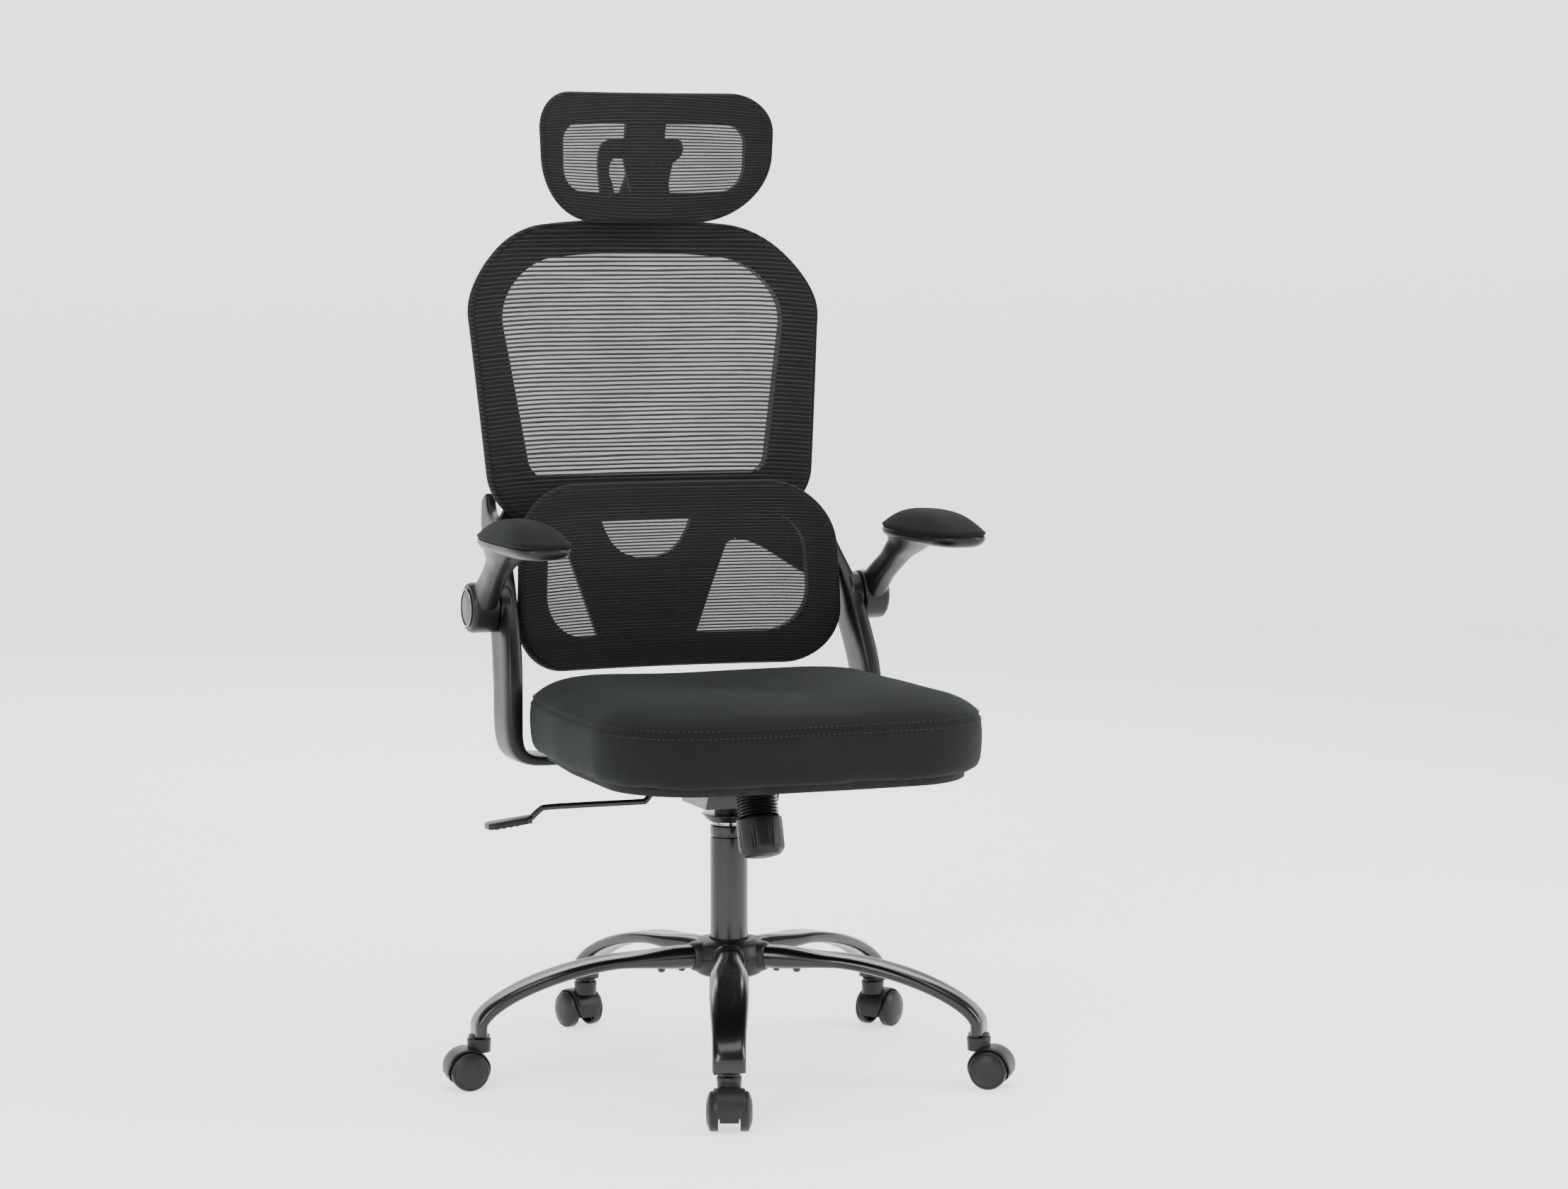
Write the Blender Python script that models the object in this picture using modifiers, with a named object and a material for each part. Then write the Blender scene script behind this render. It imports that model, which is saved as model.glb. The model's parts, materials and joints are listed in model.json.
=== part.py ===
"""Swivel office chair with a five-legged castor base, a gas lift, a tilting seat and a mesh back.

Metres, +Z up.  The chair faces -Y and the sitter's right hand is at -X.  The floor is z = 0.  The
column stands at (COLUMN_X, COLUMN_Y), which puts the middle of the footprint on the origin.
Heights and depths below are measured from the floor and from the column's axis.
"""
import math

import bmesh
import bpy
from mathutils import Matrix, Vector

# ---------------------------------------------------------------- driving dimensions
COLUMN_X = 0.0277
COLUMN_Y = -0.0283
FIT = 0.0003              # gap left between two pieces that touch
CLEARANCE = 0.0015        # gap around a piece that moves

# castors
LEG_COUNT = 5
BASE_TURN = math.radians(-110.0)   # direction of the first leg, seen from above
STEM_CIRCLE = 0.343       # radius of the circle that the castor stems stand on
WHEEL_RADIUS = 0.025
WHEEL_STEPS = 18          # leaves a flat of the tread facing the floor
WHEEL_GAP = 0.0275        # between the two wheels of one castor
WHEEL_WIDTH = 0.0155
WHEEL_RIM = 0.0035
WHEEL_WEB = 0.003
CASTOR_TRAIL = 0.017      # from the stem's axis out to the axle
AXLE_RADIUS = 0.0028
HOOD_WALL = 0.0016
HOOD_WIDTH = 0.0395
HOOD_BOSS_RADIUS = 0.0155
HOOD_TOP = 0.0655
STEM_RADIUS = 0.0055
STEM_FLANGE = 0.0022
STEM_SPIGOT = 0.010

# base
LEG_LEVEL = 0.155         # height of a leg's centre line at the hub
LEG_WALL = 0.0016
LEG_HUB_SIZE = (0.036, 0.031)      # width and height of the tube at the hub
LEG_BLADE_SIZE = (0.051, 0.020)    # where the tube is pressed flat
LEG_FOOT_SIZE = (0.043, 0.019)
LEG_LEVEL_RUN = 0.150     # radius up to which a leg runs level
LEG_DROP_POWER = 1.6      # fullness of the arc down to the castor
LEG_FOOT_RUN = 0.012      # straight vertical end over the castor stem
HUB_TOP = 0.178
HUB_BOTTOM = 0.128
HUB_RADIUS = 0.051
HUB_WALL = 0.0025
SOCKET_WALL = 0.0055

# gas lift
TUBE_RADIUS = 0.025
TUBE_WALL = 0.0016
TUBE_TOP = 0.330
TUBE_BOTTOM = 0.118
TUBE_END = 0.004
CYLINDER_RADIUS = 0.0140
CYLINDER_BORE = 0.0105
CYLINDER_BOTTOM = 0.176
ROD_RADIUS = 0.0050
ROD_COLLAR = 0.0110
ROD_TOP = 0.302
BEARING_HEIGHT = 0.0055
BEARING_RADIUS = 0.0140

# tilt mechanism
HOUSING_BOTTOM = 0.3575
HOUSING_TOP = 0.4095
HOUSING_FRONT = -0.145
HOUSING_BACK = 0.045
HOUSING_HALF_WIDTH = 0.050
HOUSING_WALL = 0.0025
HOUSING_SOCKET = 0.0195   # outer radius of the socket around the gas cylinder
HOUSING_KNEE = -0.058     # where the underside starts to rise to the front
PIN_Y = -0.045
PIN_Z = 0.3965
PIN_RADIUS = 0.005
PIN_END = 0.0025
TILT_ROOM = math.radians(13.0)     # slope of the housing's top behind the pin
PLATE_THICKNESS = 0.003
PLATE_HALF_WIDTH = 0.088
PLATE_FRONT = -0.155
PLATE_BACK = 0.100
EAR_LENGTH = 0.044
KNOB_LEAN = math.radians(18.0)     # the bolt leans forward towards its lower end
KNOB_RADIUS = 0.030
KNOB_HEIGHT = 0.049
KNOB_BEVEL = 0.006
KNOB_DOME = 0.003
KNOB_Y = -0.1135          # centre of the knob's top face
KNOB_Z = 0.3530
BOLT_RADIUS = 0.004
BOLT_HEAD_RADIUS = 0.0085
BOLT_HEAD = 0.005
BOLT_IN_KNOB = 0.020
SPRING_RADIUS = 0.0275
SPRING_INNER = 0.0205
BUSH_RADIUS = 0.0070
BUSH_LENGTH = 0.020
BUSH_FLANGE = 0.0095
LEVER_Y = 0.0
LEVER_PLAY = 0.0012       # lets the bush tip in the housing's wall
LEVER_Z = 0.379
LEVER_RADIUS = 0.0040
LEVER_BEND_X = -0.113
LEVER_DROP = 0.0125
LEVER_TIP_X = -0.262
PADDLE_LENGTH = 0.058
PADDLE_WIDTH = 0.026
PADDLE_THICKNESS = 0.010
PADDLE_DROP = 0.018

# seat
BOARD_BOTTOM = 0.4165
BOARD_THICKNESS = 0.010
BOARD_INSET = 0.016       # the board's edge lies inside the cushion's
SEAT_FRONT = -0.348
SEAT_BACK = 0.152
SEAT_HALF_WIDTH = 0.260
SEAT_REAR_HALF_WIDTH = SEAT_HALF_WIDTH - 0.019
SEAT_FRONT_RADIUS = 0.085
SEAT_REAR_RADIUS = 0.080
SEAT_TOP = 0.523
SEAT_SEAM = 0.496

# uprights
UPRIGHT_DEPTH = 0.072
UPRIGHT_THICKNESS = 0.020
FOOT_THICKNESS = 0.0145
FOOT_INNER_X = 0.150
FOOT_Y = 0.150
PIVOT_Y = 0.200
PIVOT_Z = 0.610
PIVOT_FACE_X = SEAT_HALF_WIDTH + 0.0025
PIVOT_RADIUS = 0.034
PIVOT_STUB = 0.008
PIVOT_STUB_LENGTH = 0.011

# armrests
ARM_BOSS_WIDTH = 0.0375
ARM_PAD_X = PIVOT_FACE_X + 0.024
ARM_PAD_Y = -0.008
ARM_PAD_LENGTH = 0.246
ARM_PAD_WIDTH = 0.084
ARM_BASE_BOTTOM = 0.698
ARM_BASE_THICKNESS = 0.014
ARM_PAD_THICKNESS = 0.030

# back
BACK_BOTTOM = 0.712
BACK_TOP = 1.126
BACK_BOTTOM_HALF_WIDTH = SEAT_HALF_WIDTH - 0.028
BACK_TOP_HALF_WIDTH = SEAT_HALF_WIDTH + 0.006
BACK_TOP_RADIUS = 0.125
BACK_BOTTOM_RADIUS = 0.075
BACK_RAIL = 0.046         # width of the rim at the top and sides
BACK_LOW_RAIL = 0.058     # and along the bottom
BACK_RIM_DEPTH = 0.020
BACK_SAG = 0.55           # depth of the curve round the sitter, per metre of width squared
MESH_THICKNESS = 0.004
MESH_GAP = 0.0025         # between a mesh and the rim that it is stretched over
APRON_TOP_HALF_WIDTH = 0.120       # of the apron that hangs under the back's rim
APRON_BOTTOM_HALF_WIDTH = 0.066
APRON_BOTTOM = 0.535
APRON_FRONT = 0.334
APRON_THICKNESS = 0.012
BOWL_HALF_WIDTH = 0.065   # of the round opening at the apron's top
BOWL_BOTTOM = 0.658
GUIDE_HALF_WIDTH = 0.036
GUIDE_HEIGHT = 0.060
GUIDE_WALL = 0.005

# lumbar support
LUMBAR_BOTTOM = 0.517
LUMBAR_TOP = 0.770
LUMBAR_HALF_WIDTH = SEAT_HALF_WIDTH - 0.024
LUMBAR_TOP_RADIUS = 0.090
LUMBAR_BOTTOM_RADIUS = 0.050
LUMBAR_RAIL = 0.040
LUMBAR_RIM_DEPTH = 0.014
LUMBAR_Y = 0.216
LUMBAR_SAG = 0.60
CARRIER_HALF_WIDTH = 0.045         # of the bracket that slides on the apron
CARRIER_THICKNESS = 0.009
CARRIER_TOP = 0.640
CARRIER_BOTTOM = 0.528
CARRIER_ARM_TOP = 0.554

# headrest
HEADREST_BOTTOM = 1.128
HEADREST_TOP = 1.303
HEADREST_HALF_WIDTH = 0.170
HEADREST_RADIUS = 0.060
HEADREST_RAIL = 0.030
HEADREST_RIM_DEPTH = 0.013
HEADREST_Y = 0.315
HEADREST_SAG = 1.35
POST_HALF_WIDTH = 0.024
POST_THICKNESS = 0.012
POST_BOTTOM = 1.040
HINGE_Y = 0.358
HINGE_Z = 1.205
HINGE_RADIUS = 0.0090

# ---------------------------------------------------------------- sizes that follow
WHEEL_CENTRE_Z = WHEEL_RADIUS * math.cos(math.pi / WHEEL_STEPS)
HOOD_RADIUS = WHEEL_RADIUS + CLEARANCE + HOOD_WALL
LEG_FOOT = HOOD_TOP + CLEARANCE + STEM_FLANGE + 2 * FIT
SOCKET_RADIUS = TUBE_RADIUS + FIT + SOCKET_WALL
CYLINDER_TOP = HOUSING_BOTTOM + 0.026
PLATE_BOTTOM = BOARD_BOTTOM - FIT - PLATE_THICKNESS
CUSHION_BOTTOM = BOARD_BOTTOM + BOARD_THICKNESS + FIT
BOLT_AXIS = Vector((0.0, math.sin(KNOB_LEAN), math.cos(KNOB_LEAN)))   # from the knob upwards
KNOB_TOP = Vector((0.0, KNOB_Y, KNOB_Z))
SPRING_LENGTH = 0.0395
HOUSING_FRONT_POINT = KNOB_TOP + (SPRING_LENGTH + 2 * FIT) * BOLT_AXIS


# ---------------------------------------------------------------- scene
for leftover in list(bpy.data.objects):
    bpy.data.objects.remove(leftover)

PARTS = bpy.data.collections.new("swivel_office_chair")
CUTTERS = bpy.data.collections.new("cutters")
bpy.context.scene.collection.children.link(PARTS)
bpy.context.scene.collection.children.link(CUTTERS)

FINISHES = {
    "nylon": ((0.020, 0.021, 0.022), 0.55, 0.0),
    "plastic": ((0.016, 0.017, 0.018), 0.42, 0.0),
    "paint": ((0.010, 0.011, 0.011), 0.28, 0.2),
    "chrome": ((0.80, 0.81, 0.82), 0.12, 1.0),
    "steel": ((0.42, 0.42, 0.43), 0.35, 1.0),
    "fabric": ((0.018, 0.019, 0.020), 0.92, 0.0),
    "mesh": ((0.012, 0.013, 0.013), 0.85, 0.0),
    "board": ((0.30, 0.22, 0.14), 0.80, 0.0),
}


def joint_frame(name, point, parent=None, turn=0.0):
    """An empty on a joint's axis; `point` is measured from the column's foot or from the parent."""
    empty = bpy.data.objects.new(name, None)
    PARTS.objects.link(empty)
    empty.parent = parent
    empty.location = point
    empty.rotation_euler = (0.0, 0.0, turn)
    return empty


COLUMN = joint_frame("column_axis", (COLUMN_X, COLUMN_Y, 0.0))
LIFT = joint_frame("lift_axis", (0.0, 0.0, 0.0), COLUMN)
TILT_POINT = Vector((0.0, PIN_Y, PIN_Z))
TILT = joint_frame("tilt_axis", TILT_POINT, COLUMN)


def finished(obj, node, finish):
    """Give a node's object its name and its own material, and shade it."""
    colour, roughness, metallic = FINISHES[finish]
    material = bpy.data.materials.new(node + "_finish")
    material.use_nodes = True
    shader = material.node_tree.nodes["Principled BSDF"]
    shader.inputs["Base Color"].default_value = (*colour, 1.0)
    shader.inputs["Roughness"].default_value = roughness
    shader.inputs["Metallic"].default_value = metallic
    obj.name = node
    obj.data.materials.clear()
    obj.data.materials.append(material)
    obj.data.shade_smooth()
    obj.data.set_sharp_from_angle(angle=math.radians(35))
    return obj


def face_outwards(bm):
    """Turn a closed mesh's faces outwards."""
    bmesh.ops.recalc_face_normals(bm, faces=bm.faces)
    if bm.calc_volume(signed=True) < 0:
        bmesh.ops.reverse_faces(bm, faces=bm.faces)


def mesh_object(bm, name, collection=PARTS):
    """Put a bmesh into a new object and release it."""
    face_outwards(bm)
    mesh = bpy.data.meshes.new(name)
    bm.to_mesh(mesh)
    bm.free()
    obj = bpy.data.objects.new(name, mesh)
    collection.objects.link(obj)
    return obj


def hang(obj, frame, point=Vector((0.0, 0.0, 0.0))):
    """Parent an object that was modelled from the column's foot to a joint's empty at `point`."""
    obj.data.transform(Matrix.Translation(-Vector(point)))
    obj.parent = frame
    return obj


def as_cutter(obj):
    """Hide a helper solid from the render and link it with the cutters."""
    for collection in list(obj.users_collection):
        collection.objects.unlink(obj)
    CUTTERS.objects.link(obj)
    obj.hide_render = True
    obj.display_type = "WIRE"
    return obj


def combine(obj, other, operation):
    """Join `other` to the object or cut it away, and keep the result as the object's mesh."""
    as_cutter(other)
    boolean = obj.modifiers.new(operation.lower(), "BOOLEAN")
    boolean.operation = operation
    boolean.object = other
    boolean.solver = "EXACT"
    graph = bpy.context.evaluated_depsgraph_get()
    graph.update()
    result = bpy.data.meshes.new_from_object(obj.evaluated_get(graph))
    obj.modifiers.clear()
    obj.data = result
    bpy.data.objects.remove(other)
    return obj


def turned(name, profile, steps, ring=False, collection=PARTS):
    """A turned solid about Z: `profile` holds (radius, height) from the top down its outer side."""
    mesh = bpy.data.meshes.new(name)
    edges = [(i, i + 1) for i in range(len(profile) - 1)]
    if ring:
        edges.append((len(profile) - 1, 0))
    mesh.from_pydata([(r, 0.0, z) for r, z in profile], edges, [])
    obj = bpy.data.objects.new(name, mesh)
    collection.objects.link(obj)
    screw = obj.modifiers.new("screw", "SCREW")
    screw.axis = "Z"
    screw.steps = steps
    screw.render_steps = steps
    screw.use_merge_vertices = True
    screw.merge_threshold = 0.00001
    screw.use_normal_calculate = True
    graph = bpy.context.evaluated_depsgraph_get()
    graph.update()
    result = bpy.data.meshes.new_from_object(obj.evaluated_get(graph))
    obj.modifiers.clear()
    obj.data = result
    bm = bmesh.new()
    bm.from_mesh(obj.data)
    face_outwards(bm)
    bm.to_mesh(obj.data)
    bm.free()
    return obj


def cylinder(name, radius, start, end, steps=24, collection=PARTS):
    """A solid cylinder between two points."""
    start = Vector(start)
    end = Vector(end)
    along = end - start
    bm = bmesh.new()
    bmesh.ops.create_cone(bm, cap_ends=True, segments=steps, radius1=radius, radius2=radius,
                          depth=along.length)
    turn = along.to_track_quat("Z", "Y").to_matrix().to_4x4()
    bm.transform(Matrix.Translation((start + end) / 2) @ turn)
    return mesh_object(bm, name, collection)


def box(name, low, high, collection=PARTS):
    """A box between two corners."""
    low = Vector(low)
    high = Vector(high)
    bm = bmesh.new()
    bmesh.ops.create_cube(bm, size=1.0)
    size = high - low
    bm.transform(Matrix.Translation((low + high) / 2) @ Matrix.Diagonal((*size, 1.0)))
    return mesh_object(bm, name, collection)


def loft(name, sections, closed=False, bore=None, collection=PARTS):
    """Skin a row of equal-sized sections; `bore` is a matching row for a tube's inside."""
    bm = bmesh.new()
    rows = [[bm.verts.new(p) for p in section] for section in sections]
    inner = [[bm.verts.new(p) for p in section] for section in bore] if bore else None
    count = len(rows)

    def skin(grid):
        last = count if closed else count - 1
        for i in range(last):
            a = grid[i]
            b = grid[(i + 1) % count]
            for j in range(len(a)):
                k = (j + 1) % len(a)
                bm.faces.new((a[j], a[k], b[k], b[j]))

    skin(rows)
    if inner:
        skin(inner)
        for end in (0, -1):
            a = rows[end]
            b = inner[end]
            for j in range(len(a)):
                k = (j + 1) % len(a)
                bm.faces.new((a[j], a[k], b[k], b[j]))
    elif not closed:
        bm.faces.new(rows[0])
        bm.faces.new(rows[-1])
    return mesh_object(bm, name, collection)


def rounded_section(width, height, corner_points=3, fullness=0.5):
    """Points of a rounded rectangle, `fullness` being the corner radius over the shorter half side."""
    radius = min(width, height) / 2 * fullness
    points = []
    for quadrant in range(4):
        start = quadrant * math.pi / 2
        cx = math.copysign(width / 2 - radius, math.cos(start + math.pi / 4))
        cy = math.copysign(height / 2 - radius, math.sin(start + math.pi / 4))
        for i in range(corner_points):
            a = start + i / (corner_points - 1) * math.pi / 2
            points.append((cx + radius * math.cos(a), cy + radius * math.sin(a)))
    return points


def section_at(centre, across, up, size, corner_points=3, fullness=0.5):
    """A rounded section placed in space on the unit directions `across` and `up`."""
    return [centre + across * x + up * y
            for x, y in rounded_section(size[0], size[1], corner_points, fullness)]


def smooth_path(knots, per_span):
    """Points on a Catmull-Rom curve through `knots`, each a tuple of numbers."""
    points = []
    rows = [Vector(k) for k in knots]
    rows = [2 * rows[0] - rows[1]] + rows + [2 * rows[-1] - rows[-2]]
    for i in range(1, len(rows) - 2):
        p0, p1, p2, p3 = rows[i - 1:i + 3]
        for step in range(per_span):
            t = step / per_span
            points.append(0.5 * (2 * p1 + (p2 - p0) * t + (2 * p0 - 5 * p1 + 4 * p2 - p3) * t ** 2
                                 + (3 * p1 - p0 - 3 * p2 + p3) * t ** 3))
    points.append(rows[-2])
    return points


def blend(a, b, t):
    """The value a share t of the way from a to b."""
    return a + (b - a) * t


def eased(t):
    """A share that starts and ends gently."""
    t = min(max(t, 0.0), 1.0)
    return t * t * (3 - 2 * t)


def rounded_outline(corners, arc_points):
    """A closed outline with each corner (x, z, radius) rounded by an arc."""
    outline = []
    count = len(corners)
    for i in range(count):
        corner = Vector(corners[i][:2])
        before = (Vector(corners[i - 1][:2]) - corner).normalized()
        after = (Vector(corners[(i + 1) % count][:2]) - corner).normalized()
        half = before.angle(after) / 2
        radius = corners[i][2]
        centre = corner + (before + after).normalized() * radius / math.sin(half)
        start = corner + before * radius / math.tan(half) - centre
        end = corner + after * radius / math.tan(half) - centre
        sweep = start.angle_signed(end)
        for j in range(arc_points):
            turn = Matrix.Rotation(-sweep * j / (arc_points - 1), 2)
            outline.append(centre + turn @ start)
    return outline


# ---------------------------------------------------------------- base
def leg_direction(index):
    """The angle of a leg seen from above."""
    return BASE_TURN + index * 2 * math.pi / LEG_COUNT


def leg_stations():
    """Centre, direction along the leg and outer size for each section of a leg lying along +X."""
    reach = STEM_CIRCLE - LEG_LEVEL_RUN
    arc_foot = LEG_FOOT + LEG_FOOT_RUN
    drop = LEG_LEVEL - arc_foot
    inner_end = SOCKET_RADIUS + FIT
    stations = []
    level = (inner_end, 0.5 * (inner_end + LEG_LEVEL_RUN), LEG_LEVEL_RUN)
    for r in level:
        stations.append((r, LEG_LEVEL))
    arc_steps = 7
    for i in range(1, arc_steps + 1):
        a = i / arc_steps * math.pi / 2
        r = LEG_LEVEL_RUN + reach * math.sin(a) ** (2 / LEG_DROP_POWER)
        z = arc_foot + drop * max(math.cos(a), 0.0) ** (2 / LEG_DROP_POWER)
        stations.append((r, z))
    stations.append((STEM_CIRCLE, LEG_FOOT))
    points = [Vector((r, 0.0, z)) for r, z in stations]
    lengths = [0.0]
    for a, b in zip(points, points[1:]):
        lengths.append(lengths[-1] + (b - a).length)
    result = []
    for i, point in enumerate(points):
        if i == 0 or i == 1:
            along = Vector((1, 0, 0))
        elif i >= len(points) - 2:
            along = Vector((0, 0, -1))
        else:
            along = (points[i + 1] - points[i - 1]).normalized()
        share = lengths[i] / lengths[-1]
        flat = eased((share - 0.15) / 0.30)
        foot = eased((share - 0.55) / 0.40)
        size = tuple(blend(blend(h, b, flat), f, foot)
                     for h, b, f in zip(LEG_HUB_SIZE, LEG_BLADE_SIZE, LEG_FOOT_SIZE))
        result.append((point, along, size))
    return result


def leg_loft(name, grow, bore_wall=None, collection=PARTS):
    """A leg lying along +X, its outside grown by `grow`, with a bore if a wall is given."""
    across = Vector((0, 1, 0))
    outer = []
    inner = []
    for point, along, size in leg_stations():
        up = along.cross(across) * -1
        outer.append(section_at(point, across, up, [s + 2 * grow for s in size], 2, 0.72))
        if bore_wall:
            inner.append(section_at(point, across, up, [s - 2 * bore_wall for s in size], 2, 0.68))
    return loft(name, outer, bore=inner if bore_wall else None, collection=collection)


def build_base():
    """Hub socket, hub cover and the five pressed tube legs."""
    socket = turned("hub_socket", [
        (TUBE_RADIUS + FIT, HUB_TOP - 0.004), (SOCKET_RADIUS, HUB_TOP - 0.004),
        (SOCKET_RADIUS, HUB_BOTTOM + 0.004), (TUBE_RADIUS + FIT, HUB_BOTTOM + 0.004)], 28, ring=True)
    finished(hang(socket, COLUMN), "hub_socket", "steel")

    mouth = SOCKET_RADIUS + FIT
    inside = HUB_RADIUS - HUB_WALL
    cover = turned("hub_cover", [
        (TUBE_RADIUS + 0.002, HUB_TOP), (HUB_RADIUS - 0.016, HUB_TOP), (HUB_RADIUS - 0.004, HUB_TOP - 0.006),
        (HUB_RADIUS, HUB_TOP - 0.018), (HUB_RADIUS - 0.001, HUB_BOTTOM + 0.016),
        (HUB_RADIUS - 0.007, HUB_BOTTOM + 0.004), (HUB_RADIUS - 0.014, HUB_BOTTOM),
        (HUB_RADIUS - 0.016, HUB_BOTTOM + HUB_WALL), (inside - 0.006, HUB_BOTTOM + 0.006),
        (inside - 0.001, HUB_BOTTOM + 0.016), (inside, HUB_TOP - 0.018),
        (inside - 0.003, HUB_TOP - 0.008), (mouth, HUB_TOP - HUB_WALL),
        (TUBE_RADIUS + 0.002, HUB_TOP - HUB_WALL)], 24, ring=True)
    for i in range(LEG_COUNT):
        hole = leg_loft("leg_hole", FIT)
        hole.data.transform(Matrix.Rotation(leg_direction(i), 4, "Z"))
        combine(cover, hole, "DIFFERENCE")
    finished(hang(cover, COLUMN), "hub_cover", "nylon")

    for i in range(LEG_COUNT):
        leg = leg_loft("leg", 0.0, LEG_WALL)
        leg.parent = COLUMN
        leg.rotation_euler = (0, 0, leg_direction(i))
        finished(leg, f"leg_{i + 1}", "paint")


# ---------------------------------------------------------------- castors
def build_castor(index):
    """Stem, hood, axle and two wheels; local +X points away from the column."""
    number = index + 1
    angle = leg_direction(index)
    place = Vector((math.cos(angle), math.sin(angle), 0)) * STEM_CIRCLE
    frame = joint_frame(f"castor_axis_{number}", place, COLUMN, angle)
    flange_top = LEG_FOOT - FIT
    flange_bottom = flange_top - STEM_FLANGE
    spigot = LEG_FOOT_SIZE[1] / 2 - LEG_WALL - FIT - 0.0004
    stem_end = HOOD_TOP - 0.018
    stem = turned("stem", [
        (0, flange_top + STEM_SPIGOT), (spigot, flange_top + STEM_SPIGOT), (spigot, flange_top),
        (0.0125, flange_top), (0.0125, flange_bottom), (STEM_RADIUS, flange_bottom),
        (STEM_RADIUS, stem_end), (0, stem_end)], 12)
    stem.parent = frame
    finished(stem, f"castor_stem_{number}", "steel")

    centre = Vector((CASTOR_TRAIL, 0, WHEEL_CENTRE_Z))
    across = Vector((0, 1, 0))
    half = HOOD_WIDTH / 2
    web_half = WHEEL_GAP / 2 - CLEARANCE
    hood = arch("hood", centre, HOOD_RADIUS - HOOD_WALL, HOOD_RADIUS, half)
    web = cylinder("web", HOOD_RADIUS - HOOD_WALL / 2, centre - across * web_half,
                   centre + across * web_half, 18)
    low = box("low", (-0.1, -0.05, -0.02), (0.1, 0.05, WHEEL_CENTRE_Z - 0.009))
    combine(web, low, "DIFFERENCE")
    combine(hood, web, "UNION")
    boss = cylinder("boss", HOOD_BOSS_RADIUS, (0, 0, WHEEL_CENTRE_Z + 0.006), (0, 0, HOOD_TOP), 16)
    space = turned_about("space", centre, WHEEL_RADIUS + CLEARANCE, WHEEL_GAP / 2 - CLEARANCE, half)
    for piece in space:
        combine(boss, piece, "DIFFERENCE")
    combine(hood, boss, "UNION")
    bore = cylinder("bore", STEM_RADIUS + FIT, (0, 0, stem_end - FIT), (0, 0, HOOD_TOP + 0.01), 12)
    combine(hood, bore, "DIFFERENCE")
    axle_bore = cylinder("axle_bore", AXLE_RADIUS + FIT, centre - across * 0.04,
                         centre + across * 0.04, 12)
    combine(hood, axle_bore, "DIFFERENCE")
    hood.parent = frame
    finished(hood, f"castor_hood_{number}", "nylon")

    axle_end = WHEEL_GAP / 2 + WHEEL_WIDTH - 0.0042
    axle = cylinder("axle", AXLE_RADIUS, -across * axle_end, across * axle_end, 12)
    axle.parent = frame
    axle.location = centre
    finished(axle, f"castor_axle_{number}", "steel")

    for side, name in ((1, "left"), (-1, "right")):
        wheel = build_wheel()
        wheel.parent = frame
        wheel.location = centre
        wheel.rotation_euler = (math.radians(-90 * side), 0, 0)
        finished(wheel, f"wheel_{number}_{name}", "nylon")


def arch(name, centre, inner, outer, half):
    """The hood's roof: a curved wall over the wheels, down to the axle's height on the far side."""
    sections = []
    steps = 8
    start = math.radians(-12)
    end = math.radians(198)
    for i in range(steps + 1):
        a = blend(start, end, i / steps)
        ray = Vector((math.cos(a), 0, math.sin(a)))
        sections.append([centre + ray * r + Vector((0, y, 0))
                         for r, y in ((inner, -half), (outer, -half), (outer, half), (inner, half))])
    return loft(name, sections)


def turned_about(name, centre, radius, inner_y, outer_y):
    """The two wheel spaces beside the hood's middle web, as cutters."""
    pieces = []
    for side in (1, -1):
        start = centre + Vector((0, side * inner_y, 0))
        end = centre + Vector((0, side * (outer_y + 0.01), 0))
        pieces.append(cylinder(name, radius, start, end, 18))
    return pieces


def build_wheel():
    """A hollow wheel about Z with its closed, domed face at +Z; z = 0 is midway between the pair."""
    inner = WHEEL_GAP / 2
    outer = inner + WHEEL_WIDTH
    shoulder = outer - 0.0045
    recess = shoulder - WHEEL_WEB
    bore = AXLE_RADIUS + FIT
    boss = bore + 0.003
    bore_end = outer - 0.0035
    return turned("wheel", [
        (0, outer), (WHEEL_RADIUS * 0.80, outer - 0.002), (WHEEL_RADIUS, shoulder - 0.001),
        (WHEEL_RADIUS, inner), (WHEEL_RADIUS - WHEEL_RIM, inner),
        (WHEEL_RADIUS - WHEEL_RIM, recess), (boss, recess), (boss, inner), (bore, inner),
        (bore, bore_end), (0, bore_end)], WHEEL_STEPS)


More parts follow.
